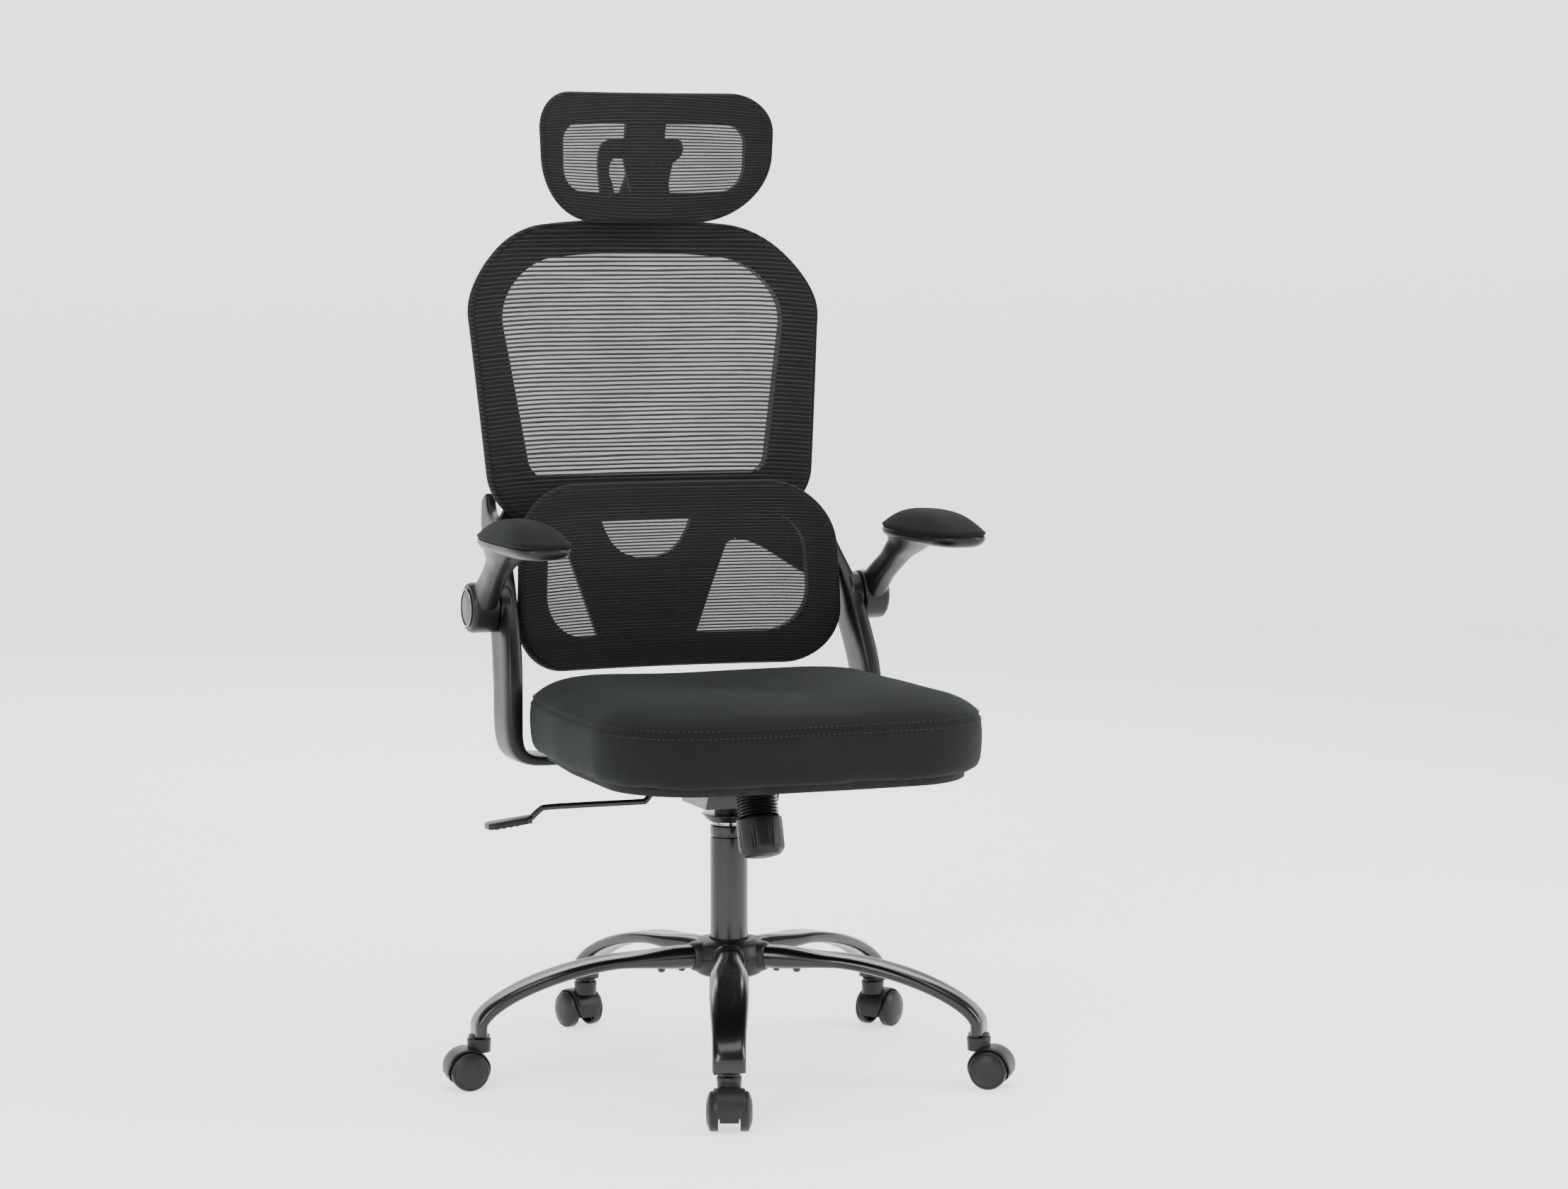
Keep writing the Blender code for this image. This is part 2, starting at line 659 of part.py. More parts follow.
# ---------------------------------------------------------------- gas lift
def build_lift():
    """Outer tube, thrust bearing, piston rod and gas cylinder."""
    mouth = CYLINDER_RADIUS + FIT
    wall = TUBE_RADIUS - TUBE_WALL
    rod_hole = ROD_RADIUS + FIT
    floor = TUBE_BOTTOM + TUBE_END
    tube = turned("tube", [
        (mouth, TUBE_TOP), (TUBE_RADIUS - 0.001, TUBE_TOP), (TUBE_RADIUS, TUBE_TOP - 0.001),
        (TUBE_RADIUS, TUBE_BOTTOM), (rod_hole, TUBE_BOTTOM), (rod_hole, floor), (wall, floor),
        (wall, TUBE_TOP - 0.030), (mouth, TUBE_TOP - 0.032)], 28, ring=True)
    finished(hang(tube, COLUMN), "column_tube", "paint")

    bearing_top = floor + FIT + BEARING_HEIGHT
    bearing = turned("bearing", [
        (rod_hole, bearing_top), (BEARING_RADIUS, bearing_top), (BEARING_RADIUS, floor + FIT),
        (rod_hole, floor + FIT)], 16, ring=True)
    finished(hang(bearing, COLUMN), "thrust_bearing", "steel")

    collar = bearing_top + FIT
    rod = turned("rod", [
        (0, ROD_TOP), (ROD_RADIUS, ROD_TOP), (ROD_RADIUS, collar + 0.004), (ROD_COLLAR, collar + 0.004),
        (ROD_COLLAR, collar), (ROD_RADIUS, collar), (ROD_RADIUS, TUBE_BOTTOM - 0.006),
        (0, TUBE_BOTTOM - 0.006)], 16)
    finished(hang(rod, LIFT), "piston_rod", "steel")

    bore_top = ROD_TOP + 0.010
    cylinder_body = turned("gas", [
        (0, CYLINDER_TOP), (CYLINDER_RADIUS - 0.0012, CYLINDER_TOP), (CYLINDER_RADIUS, HOUSING_BOTTOM),
        (CYLINDER_RADIUS, CYLINDER_BOTTOM), (rod_hole, CYLINDER_BOTTOM),
        (rod_hole, CYLINDER_BOTTOM + 0.006), (CYLINDER_BORE, CYLINDER_BOTTOM + 0.006),
        (CYLINDER_BORE, bore_top), (0, bore_top)], 24)
    finished(hang(cylinder_body, LIFT), "gas_cylinder", "chrome")


# ---------------------------------------------------------------- tilt mechanism
def prism(name, outline, half_width):
    """A solid with the side outline (y, z), from -half_width to +half_width in X."""
    sections = [[Vector((x, y, z)) for y, z in outline] for x in (-half_width, half_width)]
    return loft(name, sections)


def housing_outline(wall):
    """Side outline of the housing; `wall` moves the floor and the ends inwards and opens the top."""
    rise = math.tan(KNOB_LEAN)
    front_z = HOUSING_FRONT_POINT.z + (HOUSING_FRONT_POINT.y - HOUSING_FRONT) * rise
    knee_z = HOUSING_FRONT_POINT.z + (HOUSING_FRONT_POINT.y - HOUSING_KNEE) * rise
    slope_back = HOUSING_TOP - (HOUSING_BACK - PIN_Y - 0.005) * math.tan(TILT_ROOM)
    lift = 0.02 if wall else 0.0
    return [
        (HOUSING_BACK - wall, HOUSING_BOTTOM + wall), (HOUSING_KNEE + 0.010, HOUSING_BOTTOM + wall),
        (HOUSING_KNEE, knee_z + wall), (HOUSING_FRONT + wall, front_z + wall),
        (HOUSING_FRONT + wall, HOUSING_TOP + lift), (PIN_Y + 0.005, HOUSING_TOP + lift),
        (HOUSING_BACK - wall, slope_back + lift)]


def build_mechanism():
    """Housing, pin, seat plate, tension spring with its bolt and knob, and the lever."""
    housing = prism("housing", housing_outline(0.0), HOUSING_HALF_WIDTH)
    combine(housing, prism("hollow", housing_outline(HOUSING_WALL),
                           HOUSING_HALF_WIDTH - HOUSING_WALL), "DIFFERENCE")
    combine(housing, cylinder("socket", HOUSING_SOCKET, (0, 0, HOUSING_BOTTOM - 0.012),
                              (0, 0, CYLINDER_TOP - 0.004), 24), "UNION")
    taper = cylinder("taper", CYLINDER_RADIUS + FIT, (0, 0, HOUSING_BOTTOM - 0.05),
                     (0, 0, CYLINDER_TOP + 0.05), 24)
    combine(housing, taper, "DIFFERENCE")
    pin_hole = cylinder("pin_hole", PIN_RADIUS + FIT, (-0.2, PIN_Y, PIN_Z), (0.2, PIN_Y, PIN_Z), 20)
    combine(housing, pin_hole, "DIFFERENCE")
    slot = box("slot", (-0.0065, -0.018, -0.05), (0.0065, 0.012, 0.05))
    slot.data.transform(Matrix.Translation(HOUSING_FRONT_POINT) @ Matrix.Rotation(-KNOB_LEAN, 4, "X"))
    combine(housing, slot, "DIFFERENCE")
    bush_hole = cylinder("bush_hole", BUSH_RADIUS + LEVER_PLAY,
                         (-HOUSING_HALF_WIDTH - 0.02, LEVER_Y, LEVER_Z),
                         (-HOUSING_HALF_WIDTH + 0.008, LEVER_Y, LEVER_Z), 20)
    combine(housing, bush_hole, "DIFFERENCE")
    finished(hang(housing, LIFT), "mechanism_housing", "paint")

    plate_top = PLATE_BOTTOM + PLATE_THICKNESS
    plate = box("plate", (-PLATE_HALF_WIDTH, PLATE_FRONT, PLATE_BOTTOM),
                (PLATE_HALF_WIDTH, PLATE_BACK, plate_top))
    ear_inner = HOUSING_HALF_WIDTH + 2 * FIT
    for side in (-1, 1):
        ear = box("ear", (min(side * ear_inner, side * (ear_inner + PLATE_THICKNESS)),
                          PIN_Y - EAR_LENGTH / 2, PIN_Z - 0.011),
                  (max(side * ear_inner, side * (ear_inner + PLATE_THICKNESS)),
                   PIN_Y + EAR_LENGTH / 2, PLATE_BOTTOM + 0.001))
        combine(plate, ear, "UNION")
    pin_hole = cylinder("pin_hole", PIN_RADIUS + FIT, (-0.2, PIN_Y, PIN_Z), (0.2, PIN_Y, PIN_Z), 20)
    combine(plate, pin_hole, "DIFFERENCE")
    through = bolt_line(PLATE_BOTTOM - 0.02), bolt_line(plate_top + 0.02)
    combine(plate, cylinder("bolt_hole", BOLT_RADIUS + FIT, *through, 20), "DIFFERENCE")
    finished(hang(plate, TILT, TILT_POINT), "seat_plate", "paint")

    pin_half = ear_inner + PLATE_THICKNESS + PIN_END
    pin = cylinder("pin", PIN_RADIUS, (-pin_half, PIN_Y, PIN_Z), (pin_half, PIN_Y, PIN_Z), 20)
    finished(hang(pin, TILT, TILT_POINT), "tilt_pin", "steel")
    build_tension(plate_top)
    build_lever()


def bolt_line(z):
    """The point of the tension bolt's axis at a height."""
    return KNOB_TOP + BOLT_AXIS * ((z - KNOB_Z) / BOLT_AXIS.z)


def build_tension(plate_top):
    """The bolt through the seat plate, the spring in its boot, and the knob."""
    lean = Matrix.Translation(KNOB_TOP) @ Matrix.Rotation(-KNOB_LEAN, 4, "X")
    head_bottom = (plate_top - KNOB_Z) / BOLT_AXIS.z + BOLT_HEAD_RADIUS * math.tan(KNOB_LEAN) + FIT
    bolt = turned("bolt", [
        (0, head_bottom + BOLT_HEAD), (BOLT_HEAD_RADIUS, head_bottom + BOLT_HEAD),
        (BOLT_HEAD_RADIUS, head_bottom), (BOLT_RADIUS, head_bottom), (BOLT_RADIUS, -BOLT_IN_KNOB),
        (0, -BOLT_IN_KNOB)], 20)
    bolt.data.transform(lean)
    finished(hang(bolt, TILT, TILT_POINT), "tension_bolt", "steel")

    spring = turned("spring", boot_profile(), 16, ring=True)
    spring.data.transform(lean)
    finished(hang(spring, TILT, TILT_POINT), "tilt_spring", "nylon")

    knob_frame = joint_frame("knob_axis", KNOB_TOP - TILT_POINT, TILT)
    knob_frame.rotation_euler = (-KNOB_LEAN, 0, 0)
    bore = BOLT_RADIUS + FIT
    knob = turned("knob", [
        (0, -BOLT_IN_KNOB - FIT), (bore, -BOLT_IN_KNOB - FIT), (bore, 0.0), (KNOB_RADIUS - 0.001, 0.0),
        (KNOB_RADIUS, -0.001), (KNOB_RADIUS, KNOB_BEVEL - KNOB_HEIGHT),
        (KNOB_RADIUS - KNOB_BEVEL, -KNOB_HEIGHT), (0, -KNOB_HEIGHT - KNOB_DOME)], 24)
    knob.parent = knob_frame
    finished(knob, "tension_knob", "plastic")


def boot_profile():
    """Outer and inner side of the ribbed boot, from its top at the housing down to the knob."""
    ribs = 5
    pitch = (SPRING_LENGTH - FIT) / ribs
    profile = []
    for i in range(ribs):
        top = SPRING_LENGTH - i * pitch
        profile.append((SPRING_RADIUS - 0.003, top))
        profile.append((SPRING_RADIUS, top - pitch * 0.45))
    profile.append((SPRING_RADIUS - 0.003, FIT))
    profile.append((SPRING_INNER, FIT))
    profile.append((SPRING_INNER, SPRING_LENGTH))
    return profile


def build_lever():
    """The bush in the housing's wall, the bent rod that slides in it and its paddle."""
    wall_x = -HOUSING_HALF_WIDTH
    centre = Vector((wall_x + HOUSING_WALL / 2, LEVER_Y, LEVER_Z))
    frame = joint_frame("lever_axis", centre, LIFT)
    bore = LEVER_RADIUS + FIT
    bush = turned("bush", [
        (bore, BUSH_LENGTH), (BUSH_RADIUS, BUSH_LENGTH), (BUSH_RADIUS, BUSH_LENGTH * 0.35),
        (BUSH_FLANGE, BUSH_LENGTH * 0.35), (BUSH_FLANGE, 0.0), (bore, 0.0)], 20, ring=True)
    flange_x = wall_x - LEVER_PLAY - BUSH_LENGTH * 0.35
    bush.data.transform(Matrix.Translation((flange_x, LEVER_Y, LEVER_Z))
                        @ Matrix.Rotation(math.radians(90), 4, "Y"))
    finished(hang(bush, frame, centre), "lever_bush", "nylon")

    inner_x = flange_x + BUSH_LENGTH + 0.006
    low_z = LEVER_Z - LEVER_DROP
    knots = [(inner_x, LEVER_Z), (LEVER_BEND_X + 0.012, LEVER_Z), (LEVER_BEND_X + 0.003, LEVER_Z - 0.003),
             (LEVER_BEND_X - 0.003, low_z + 0.003), (LEVER_BEND_X - 0.012, low_z),
             (LEVER_TIP_X + 0.004, low_z), (LEVER_TIP_X - 0.012, low_z - PADDLE_DROP + 0.004)]
    curve = bpy.data.curves.new("lever_path", "CURVE")
    curve.dimensions = "3D"
    curve.bevel_depth = LEVER_RADIUS
    curve.bevel_resolution = 1
    curve.use_fill_caps = True
    spline = curve.splines.new("POLY")
    spline.points.add(len(knots) - 1)
    for point, (x, z) in zip(spline.points, knots):
        point.co = (x, LEVER_Y, z, 1.0)
    wire = bpy.data.objects.new("lever_wire", curve)
    PARTS.objects.link(wire)
    rod = curve_to_mesh(wire)
    finished(hang(rod, frame, centre), "lever_rod", "paint")

    grip_z = low_z - PADDLE_DROP
    start_x = LEVER_TIP_X - 0.012 - 0.004
    sections = []
    for share, width, thick, sink in ((0.0, 0.60, 0.85, 0.0), (0.25, 0.95, 1.0, 0.001),
                                      (0.75, 1.0, 0.9, 0.004), (1.0, 0.80, 0.55, 0.006)):
        centre_point = Vector((start_x - share * PADDLE_LENGTH, LEVER_Y, grip_z + 0.002 - sink))
        sections.append(section_at(centre_point, Vector((0, 1, 0)), Vector((0, 0, 1)),
                                   (PADDLE_WIDTH * width, PADDLE_THICKNESS * thick), 3, 0.6))
    paddle = loft("paddle", sections)
    finished(hang(paddle, frame, centre), "lever_paddle", "plastic")


def curve_to_mesh(wire):
    """Turn a bevelled curve into a closed mesh object and remove the curve."""
    graph = bpy.context.evaluated_depsgraph_get()
    graph.update()
    mesh = bpy.data.meshes.new_from_object(wire.evaluated_get(graph))
    bm = bmesh.new()
    bm.from_mesh(mesh)
    bmesh.ops.remove_doubles(bm, verts=bm.verts, dist=0.00001)
    face_outwards(bm)
    bm.to_mesh(mesh)
    bm.free()
    obj = bpy.data.objects.new(wire.name + "_mesh", mesh)
    obj.matrix_world = wire.matrix_world
    PARTS.objects.link(obj)
    bpy.data.objects.remove(wire)
    return obj


# ---------------------------------------------------------------- seat
def seat_outline(inset, arc_points=6):
    """The seat's outline from above, moved inwards by `inset`."""
    front = SEAT_FRONT + inset
    back = SEAT_BACK - inset
    wide = SEAT_HALF_WIDTH - inset
    narrow = SEAT_REAR_HALF_WIDTH - inset
    front_radius = SEAT_FRONT_RADIUS - inset * 0.6
    rear_radius = SEAT_REAR_RADIUS - inset * 0.6
    corners = [(wide, front, front_radius), (wide, -0.06, 0.30), (narrow, back, rear_radius),
               (-narrow, back, rear_radius), (-wide, -0.06, 0.30), (-wide, front, front_radius)]
    return rounded_outline(corners, arc_points)


def build_seat():
    """The board and the foam cushion on it."""
    board_top = BOARD_BOTTOM + BOARD_THICKNESS
    outline = seat_outline(BOARD_INSET, 5)
    board = loft("board", [[Vector((p.x, p.y, z)) for p in outline] for z in (BOARD_BOTTOM, board_top)])
    through = bolt_line(BOARD_BOTTOM - 0.01), bolt_line(board_top + 0.01)
    combine(board, cylinder("head_room", BOLT_HEAD_RADIUS + 0.005, *through, 24), "DIFFERENCE")
    finished(hang(board, TILT, TILT_POINT), "seat_board", "board")

    crown = SEAT_TOP - SEAT_SEAM
    levels = ((CUSHION_BOTTOM, 0.010), (CUSHION_BOTTOM + 0.012, 0.002), (SEAT_SEAM - 0.006, 0.0),
              (SEAT_SEAM + crown * 0.35, 0.012), (SEAT_SEAM + crown * 0.75, 0.045), (SEAT_TOP, 0.100))
    sections = []
    for z, inset in levels:
        sections.append([Vector((p.x, p.y, z)) for p in seat_outline(inset)])
    cushion = loft("cushion", sections)
    finished(hang(cushion, TILT, TILT_POINT), "seat_cushion", "fabric")


# ---------------------------------------------------------------- uprights and armrests
def upright_path():
    """Knots of an upright's centre line on the sitter's left: position, depth and thickness."""
    foot_z = BOARD_BOTTOM - FIT - FOOT_THICKNESS / 2
    bend_x = SEAT_REAR_HALF_WIDTH + 0.010
    side_x = SEAT_REAR_HALF_WIDTH + 0.0075 + UPRIGHT_THICKNESS / 2
    tip_x = BACK_BOTTOM_HALF_WIDTH - 0.010
    tip_y = back_depth(tip_x, BACK_BOTTOM + 0.036) + MESH_GAP + BACK_RIM_DEPTH + 0.029
    return [
        ((FOOT_INNER_X, FOOT_Y, foot_z), UPRIGHT_DEPTH * 0.86, FOOT_THICKNESS),
        ((bend_x - 0.056, FOOT_Y, foot_z), UPRIGHT_DEPTH * 0.95, FOOT_THICKNESS),
        ((bend_x - 0.022, FOOT_Y, foot_z + 0.001), UPRIGHT_DEPTH, FOOT_THICKNESS + 0.002),
        ((side_x - 0.003, FOOT_Y + 0.001, foot_z + 0.020), UPRIGHT_DEPTH * 1.02, UPRIGHT_THICKNESS),
        ((side_x + 0.003, FOOT_Y + 0.002, foot_z + 0.052), UPRIGHT_DEPTH * 1.02, UPRIGHT_THICKNESS),
        ((side_x + 0.001, FOOT_Y + 0.008, 0.520), UPRIGHT_DEPTH, UPRIGHT_THICKNESS),
        ((PIVOT_FACE_X - 0.0125, PIVOT_Y + 0.008, PIVOT_Z), UPRIGHT_DEPTH * 0.97, UPRIGHT_THICKNESS),
        ((tip_x + 0.0145, tip_y - 0.100, BACK_BOTTOM - 0.032), UPRIGHT_DEPTH * 0.80,
         UPRIGHT_THICKNESS * 0.9),
        ((tip_x + 0.0070, tip_y - 0.034, BACK_BOTTOM - 0.004), UPRIGHT_DEPTH * 0.55,
         UPRIGHT_THICKNESS * 0.85),
        ((tip_x, tip_y, BACK_BOTTOM + 0.036), UPRIGHT_DEPTH * 0.40, UPRIGHT_THICKNESS * 0.8),
    ]


def build_upright(side, name):
    """A moulded upright: a foot under the board, a bend, and a curved post up to the back's rim."""
    knots = upright_path()
    rows = smooth_path([(*k[0], k[1]) for k in knots], 2)
    thick = smooth_path([(k[2], 0.0) for k in knots], 2)
    points = [Vector(r[:3]) for r in rows]
    sections = []
    for i, point in enumerate(points):
        before = points[max(i - 1, 0)]
        after = points[min(i + 1, len(points) - 1)]
        along = (after - before).normalized()
        if i == 0:
            along = Vector((1, 0, 0))
        front = Vector((0, 1, 0))
        front = (front - along * front.dot(along)).normalized()
        out = along.cross(front).normalized()
        sections.append(section_at(point, front, out, (rows[i][3], thick[i][0]), 3, 0.75))
    post = loft("post", sections)
    boss = cylinder("boss", PIVOT_RADIUS - 0.002, (PIVOT_FACE_X - 0.017, PIVOT_Y, PIVOT_Z),
                    (PIVOT_FACE_X, PIVOT_Y, PIVOT_Z), 28)
    combine(post, boss, "UNION")
    seat = cylinder("seat", PIVOT_RADIUS + CLEARANCE, (PIVOT_FACE_X, PIVOT_Y, PIVOT_Z),
                    (PIVOT_FACE_X + 0.03, PIVOT_Y, PIVOT_Z), 28)
    combine(post, seat, "DIFFERENCE")
    combine(post, back_rim("rim_room", FIT), "DIFFERENCE")
    bore = cylinder("bore", PIVOT_STUB + FIT, (PIVOT_FACE_X - PIVOT_STUB_LENGTH - FIT, PIVOT_Y, PIVOT_Z),
                    (PIVOT_FACE_X + 0.02, PIVOT_Y, PIVOT_Z), 20)
    combine(post, bore, "DIFFERENCE")
    mirror_to(post, side)
    finished(hang(post, TILT, TILT_POINT), name, "plastic")


def mirror_to(obj, side):
    """Leave an object modelled at +X where it is, or mirror it to -X."""
    if side < 0:
        obj.data.transform(Matrix.Scale(-1, 4, (1, 0, 0)))
        obj.data.flip_normals()


def arm_outline(inset):
    """The arm pad's outline from above: a long rounded shape, a little wider in front."""
    half_length = ARM_PAD_LENGTH / 2 - inset
    half_width = ARM_PAD_WIDTH / 2 - inset
    points = []
    steps = 24
    for i in range(steps):
        a = 2 * math.pi * i / steps
        c = math.cos(a)
        s = math.sin(a)
        x = half_width * math.copysign(abs(c) ** 0.62, c)
        y = half_length * math.copysign(abs(s) ** 0.70, s)
        points.append(Vector((ARM_PAD_X + x * (1 - 0.10 * s), ARM_PAD_Y + y, 0)))
    return points


def build_arm(side, name):
    """An armrest: the pivot boss, the stem, the base under the pad, and the pad."""
    centre = Vector((side * PIVOT_FACE_X, PIVOT_Y, PIVOT_Z))
    frame = joint_frame(f"arm_axis_{name}", centre - TILT_POINT, TILT)
    inner_x = PIVOT_FACE_X + 2 * FIT
    outer_x = inner_x + ARM_BOSS_WIDTH
    boss = cylinder("boss", PIVOT_RADIUS, (inner_x, PIVOT_Y, PIVOT_Z), (outer_x, PIVOT_Y, PIVOT_Z), 28)
    stub = cylinder("stub", PIVOT_STUB, (PIVOT_FACE_X - PIVOT_STUB_LENGTH, PIVOT_Y, PIVOT_Z),
                    (inner_x + 0.01, PIVOT_Y, PIVOT_Z), 20)
    combine(boss, stub, "UNION")
    stem_x = (inner_x + outer_x) / 2
    knots = (((stem_x, PIVOT_Y - 0.004, PIVOT_Z + 0.004), (0.036, 0.056)),
             ((stem_x, PIVOT_Y - 0.038, PIVOT_Z + 0.030), (0.035, 0.050)),
             ((stem_x + 0.001, PIVOT_Y - 0.078, PIVOT_Z + 0.056), (0.036, 0.046)),
             ((ARM_PAD_X, PIVOT_Y - 0.112, PIVOT_Z + 0.075), (0.044, 0.058)),
             ((ARM_PAD_X, PIVOT_Y - 0.140, ARM_BASE_BOTTOM + 0.004), (0.056, 0.100)))
    sections = []
    for i, (place, size) in enumerate(knots):
        lean = blend(math.radians(52), math.radians(90), i / (len(knots) - 1))
        up = Vector((0, math.sin(lean), math.cos(lean)))
        sections.append(section_at(Vector(place), Vector((1, 0, 0)), up, size, 3, 0.8))
    combine(boss, loft("stem", sections), "UNION")
    base_top = ARM_BASE_BOTTOM + ARM_BASE_THICKNESS
    layers = ((ARM_BASE_BOTTOM, 0.012), (ARM_BASE_BOTTOM + 0.006, 0.003), (base_top, 0.001))
    base = loft("base", [[Vector((p.x, p.y, z)) for p in arm_outline(inset)] for z, inset in layers])
    combine(boss, base, "UNION")
    mirror_to(boss, side)
    hang(boss, frame, centre)
    finished(boss, f"arm_{name}", "plastic")

    pad_bottom = base_top + FIT
    layers = ((pad_bottom, 0.002), (pad_bottom + 0.008, 0.0), (pad_bottom + 0.018, 0.006),
              (pad_bottom + 0.026, 0.018), (pad_bottom + ARM_PAD_THICKNESS, 0.030))
    pad = loft("pad", [[Vector((p.x, p.y, z)) for p in arm_outline(inset)] for z, inset in layers])
    mirror_to(pad, side)
    hang(pad, frame, centre)
    finished(pad, f"arm_pad_{name}", "fabric")


# ---------------------------------------------------------------- back, lumbar support, headrest
def back_depth(x, z):
    """How far behind the column the back's front face lies."""
    share = (z - BACK_BOTTOM) / (BACK_TOP - BACK_BOTTOM)
    return blend(0.330, 0.383, share ** 1.2 if share > 0 else 0.0) - BACK_SAG * x * x


def lumbar_depth(x, z):
    """How far behind the column the lumbar support's front face lies."""
    share = (z - (LUMBAR_BOTTOM + LUMBAR_TOP) / 2) / (LUMBAR_TOP - LUMBAR_BOTTOM)
    return LUMBAR_Y + 0.060 * share * share + 0.012 * share - LUMBAR_SAG * x * x


def headrest_depth(x, z):
    """How far behind the column the headrest's front face lies."""
    share = (z - (HEADREST_BOTTOM + HEADREST_TOP) / 2) / (HEADREST_TOP - HEADREST_BOTTOM)
    return HEADREST_Y + 0.045 * share * share - 0.006 * share - HEADREST_SAG * x * x


def rim(name, outline, width_at, depth_at, thickness, gap, grow=0.0):
    """A closed rim inside an outline (x, z), lying behind the surface `depth_at`."""
    count = len(outline)
    sections = []
    for i, point in enumerate(outline):
        along = (outline[(i + 1) % count] - outline[i - 1]).normalized()
        inward = Vector((-along.y, along.x))
        middle = sum(outline, Vector((0, 0))) / count
        if inward.dot(middle - point) < 0:
            inward = -inward
        width = width_at(point)
        section = []
        for across, back in ((0.06, 0.0), (0.94, 0.0), (1.0, 0.3), (0.85, 1.0), (0.15, 1.0), (0.0, 0.3)):
            p = point + inward * ((width + 2 * grow) * across - grow)
            y = depth_at(p.x, p.y) + gap - grow + back * (thickness + 2 * grow)
            section.append(Vector((p.x, y, p.y)))
        sections.append(section)
    return loft(name, sections, closed=True)


def panel(name, outline_at, low, high, depth_at, thickness, rows, columns, inset):
    """A thin curved sheet between two heights; `outline_at` gives its half width at a height."""
    bm = bmesh.new()
    grids = []
    for layer in (0.0, thickness):
        grid = []
        for i in range(rows + 1):
            z = blend(low, high, 0.5 - 0.5 * math.cos(math.pi * i / rows))
            half = outline_at(z) - inset
            row = []
            for j in range(columns + 1):
                x = half * (2 * j / columns - 1)
                row.append(bm.verts.new((x, depth_at(x, z) - thickness + layer, z)))
            grid.append(row)
        grids.append(grid)
    front, back = grids
    for i in range(rows):
        for j in range(columns):
            bm.faces.new((front[i][j], front[i][j + 1], front[i + 1][j + 1], front[i + 1][j]))
            bm.faces.new((back[i][j], back[i + 1][j], back[i + 1][j + 1], back[i][j + 1]))
    border = [(0, j) for j in range(columns)] + [(i, columns) for i in range(rows)]
    border += [(rows, j) for j in range(columns, 0, -1)] + [(i, 0) for i in range(rows, 0, -1)]
    for k in range(len(border)):
        a = border[k]
        b = border[(k + 1) % len(border)]
        bm.faces.new((front[a[0]][a[1]], back[a[0]][a[1]], back[b[0]][b[1]], front[b[0]][b[1]]))
    return mesh_object(bm, name)


def half_width_of(outline):
    """A function that gives an outline's half width at a height."""
    def at(z):
        best = 0.0
        count = len(outline)
        for i in range(count):
            a = outline[i]
            b = outline[(i + 1) % count]
            if (a.y - z) * (b.y - z) <= 0 and abs(a.y - b.y) > 1e-9:
                share = (z - a.y) / (b.y - a.y)
                best = max(best, abs(blend(a.x, b.x, share)))
        return best
    return at


def spread(outline, longest):
    """Add points on an outline's long straight stretches."""
    result = []
    count = len(outline)
    for i in range(count):
        a = outline[i]
        b = outline[(i + 1) % count]
        pieces = max(1, math.ceil((b - a).length / longest))
        for k in range(pieces):
            result.append(a + (b - a) * (k / pieces))
    return result


def bar(name, knots, width, thickness, per_span=2):
    """A flat bar through (x, y, z) knots that lies across X."""
    points = smooth_path(knots, per_span)
    sections = []
    for i, point in enumerate(points):
        along = (points[min(i + 1, len(points) - 1)] - points[max(i - 1, 0)]).normalized()
        across = Vector((1, 0, 0))
        across = (across - along * across.dot(along)).normalized()
        out = along.cross(across).normalized()
        sections.append(section_at(point, across, out, (width, thickness), 2, 0.4))
    return loft(name, sections)


def back_outline():
    """The back's outline seen from the front."""
    return rounded_outline([
        (-BACK_BOTTOM_HALF_WIDTH, BACK_BOTTOM, BACK_BOTTOM_RADIUS),
        (BACK_BOTTOM_HALF_WIDTH, BACK_BOTTOM, BACK_BOTTOM_RADIUS),
        (BACK_TOP_HALF_WIDTH, BACK_TOP, BACK_TOP_RADIUS),
        (-BACK_TOP_HALF_WIDTH, BACK_TOP, BACK_TOP_RADIUS)], 6)


def back_rail(point):
    """Width of the back's rim, which grows towards the bottom."""
    share = (BACK_BOTTOM + 0.088 - point.y) / 0.06
    return blend(BACK_RAIL, BACK_LOW_RAIL, min(max(share, 0.0), 1.0))


def back_rim(name, grow):
    """The back's rim, grown all round by `grow`."""
    return rim(name, spread(back_outline(), 0.075), back_rail, back_depth, BACK_RIM_DEPTH, MESH_GAP, grow)


def build_back():
    """The back's rim with the apron and the headrest guide, and the mesh over it."""
    frame = back_rim("rim", 0.0)
    combine(frame, apron(), "UNION")
    guide_y = post_y()
    guide_top = BACK_TOP - 0.012
    guide_back = guide_y + POST_THICKNESS / 2 + GUIDE_WALL
    guide_front = back_depth(0, BACK_TOP) + BACK_RIM_DEPTH * 0.6
    guide = box("guide", (-GUIDE_HALF_WIDTH, guide_front, guide_top - GUIDE_HEIGHT),
                (GUIDE_HALF_WIDTH, guide_back, guide_top))
    combine(frame, guide, "UNION")
    room = 3 * FIT
    half_channel = POST_THICKNESS / 2 + room
    channel = box("channel", (-POST_HALF_WIDTH - room, guide_y - half_channel, POST_BOTTOM - 0.1),
                  (POST_HALF_WIDTH + room, guide_y + half_channel, BACK_TOP + 0.1))
    combine(frame, channel, "DIFFERENCE")
    finished(hang(frame, TILT, TILT_POINT), "back_frame", "plastic")

    mesh = panel("mesh", half_width_of(back_outline()), BACK_BOTTOM + 0.004, BACK_TOP - 0.004,
                 back_depth, MESH_THICKNESS, 12, 8, 0.003)
    finished(hang(mesh, TILT, TILT_POINT), "back_mesh", "mesh")


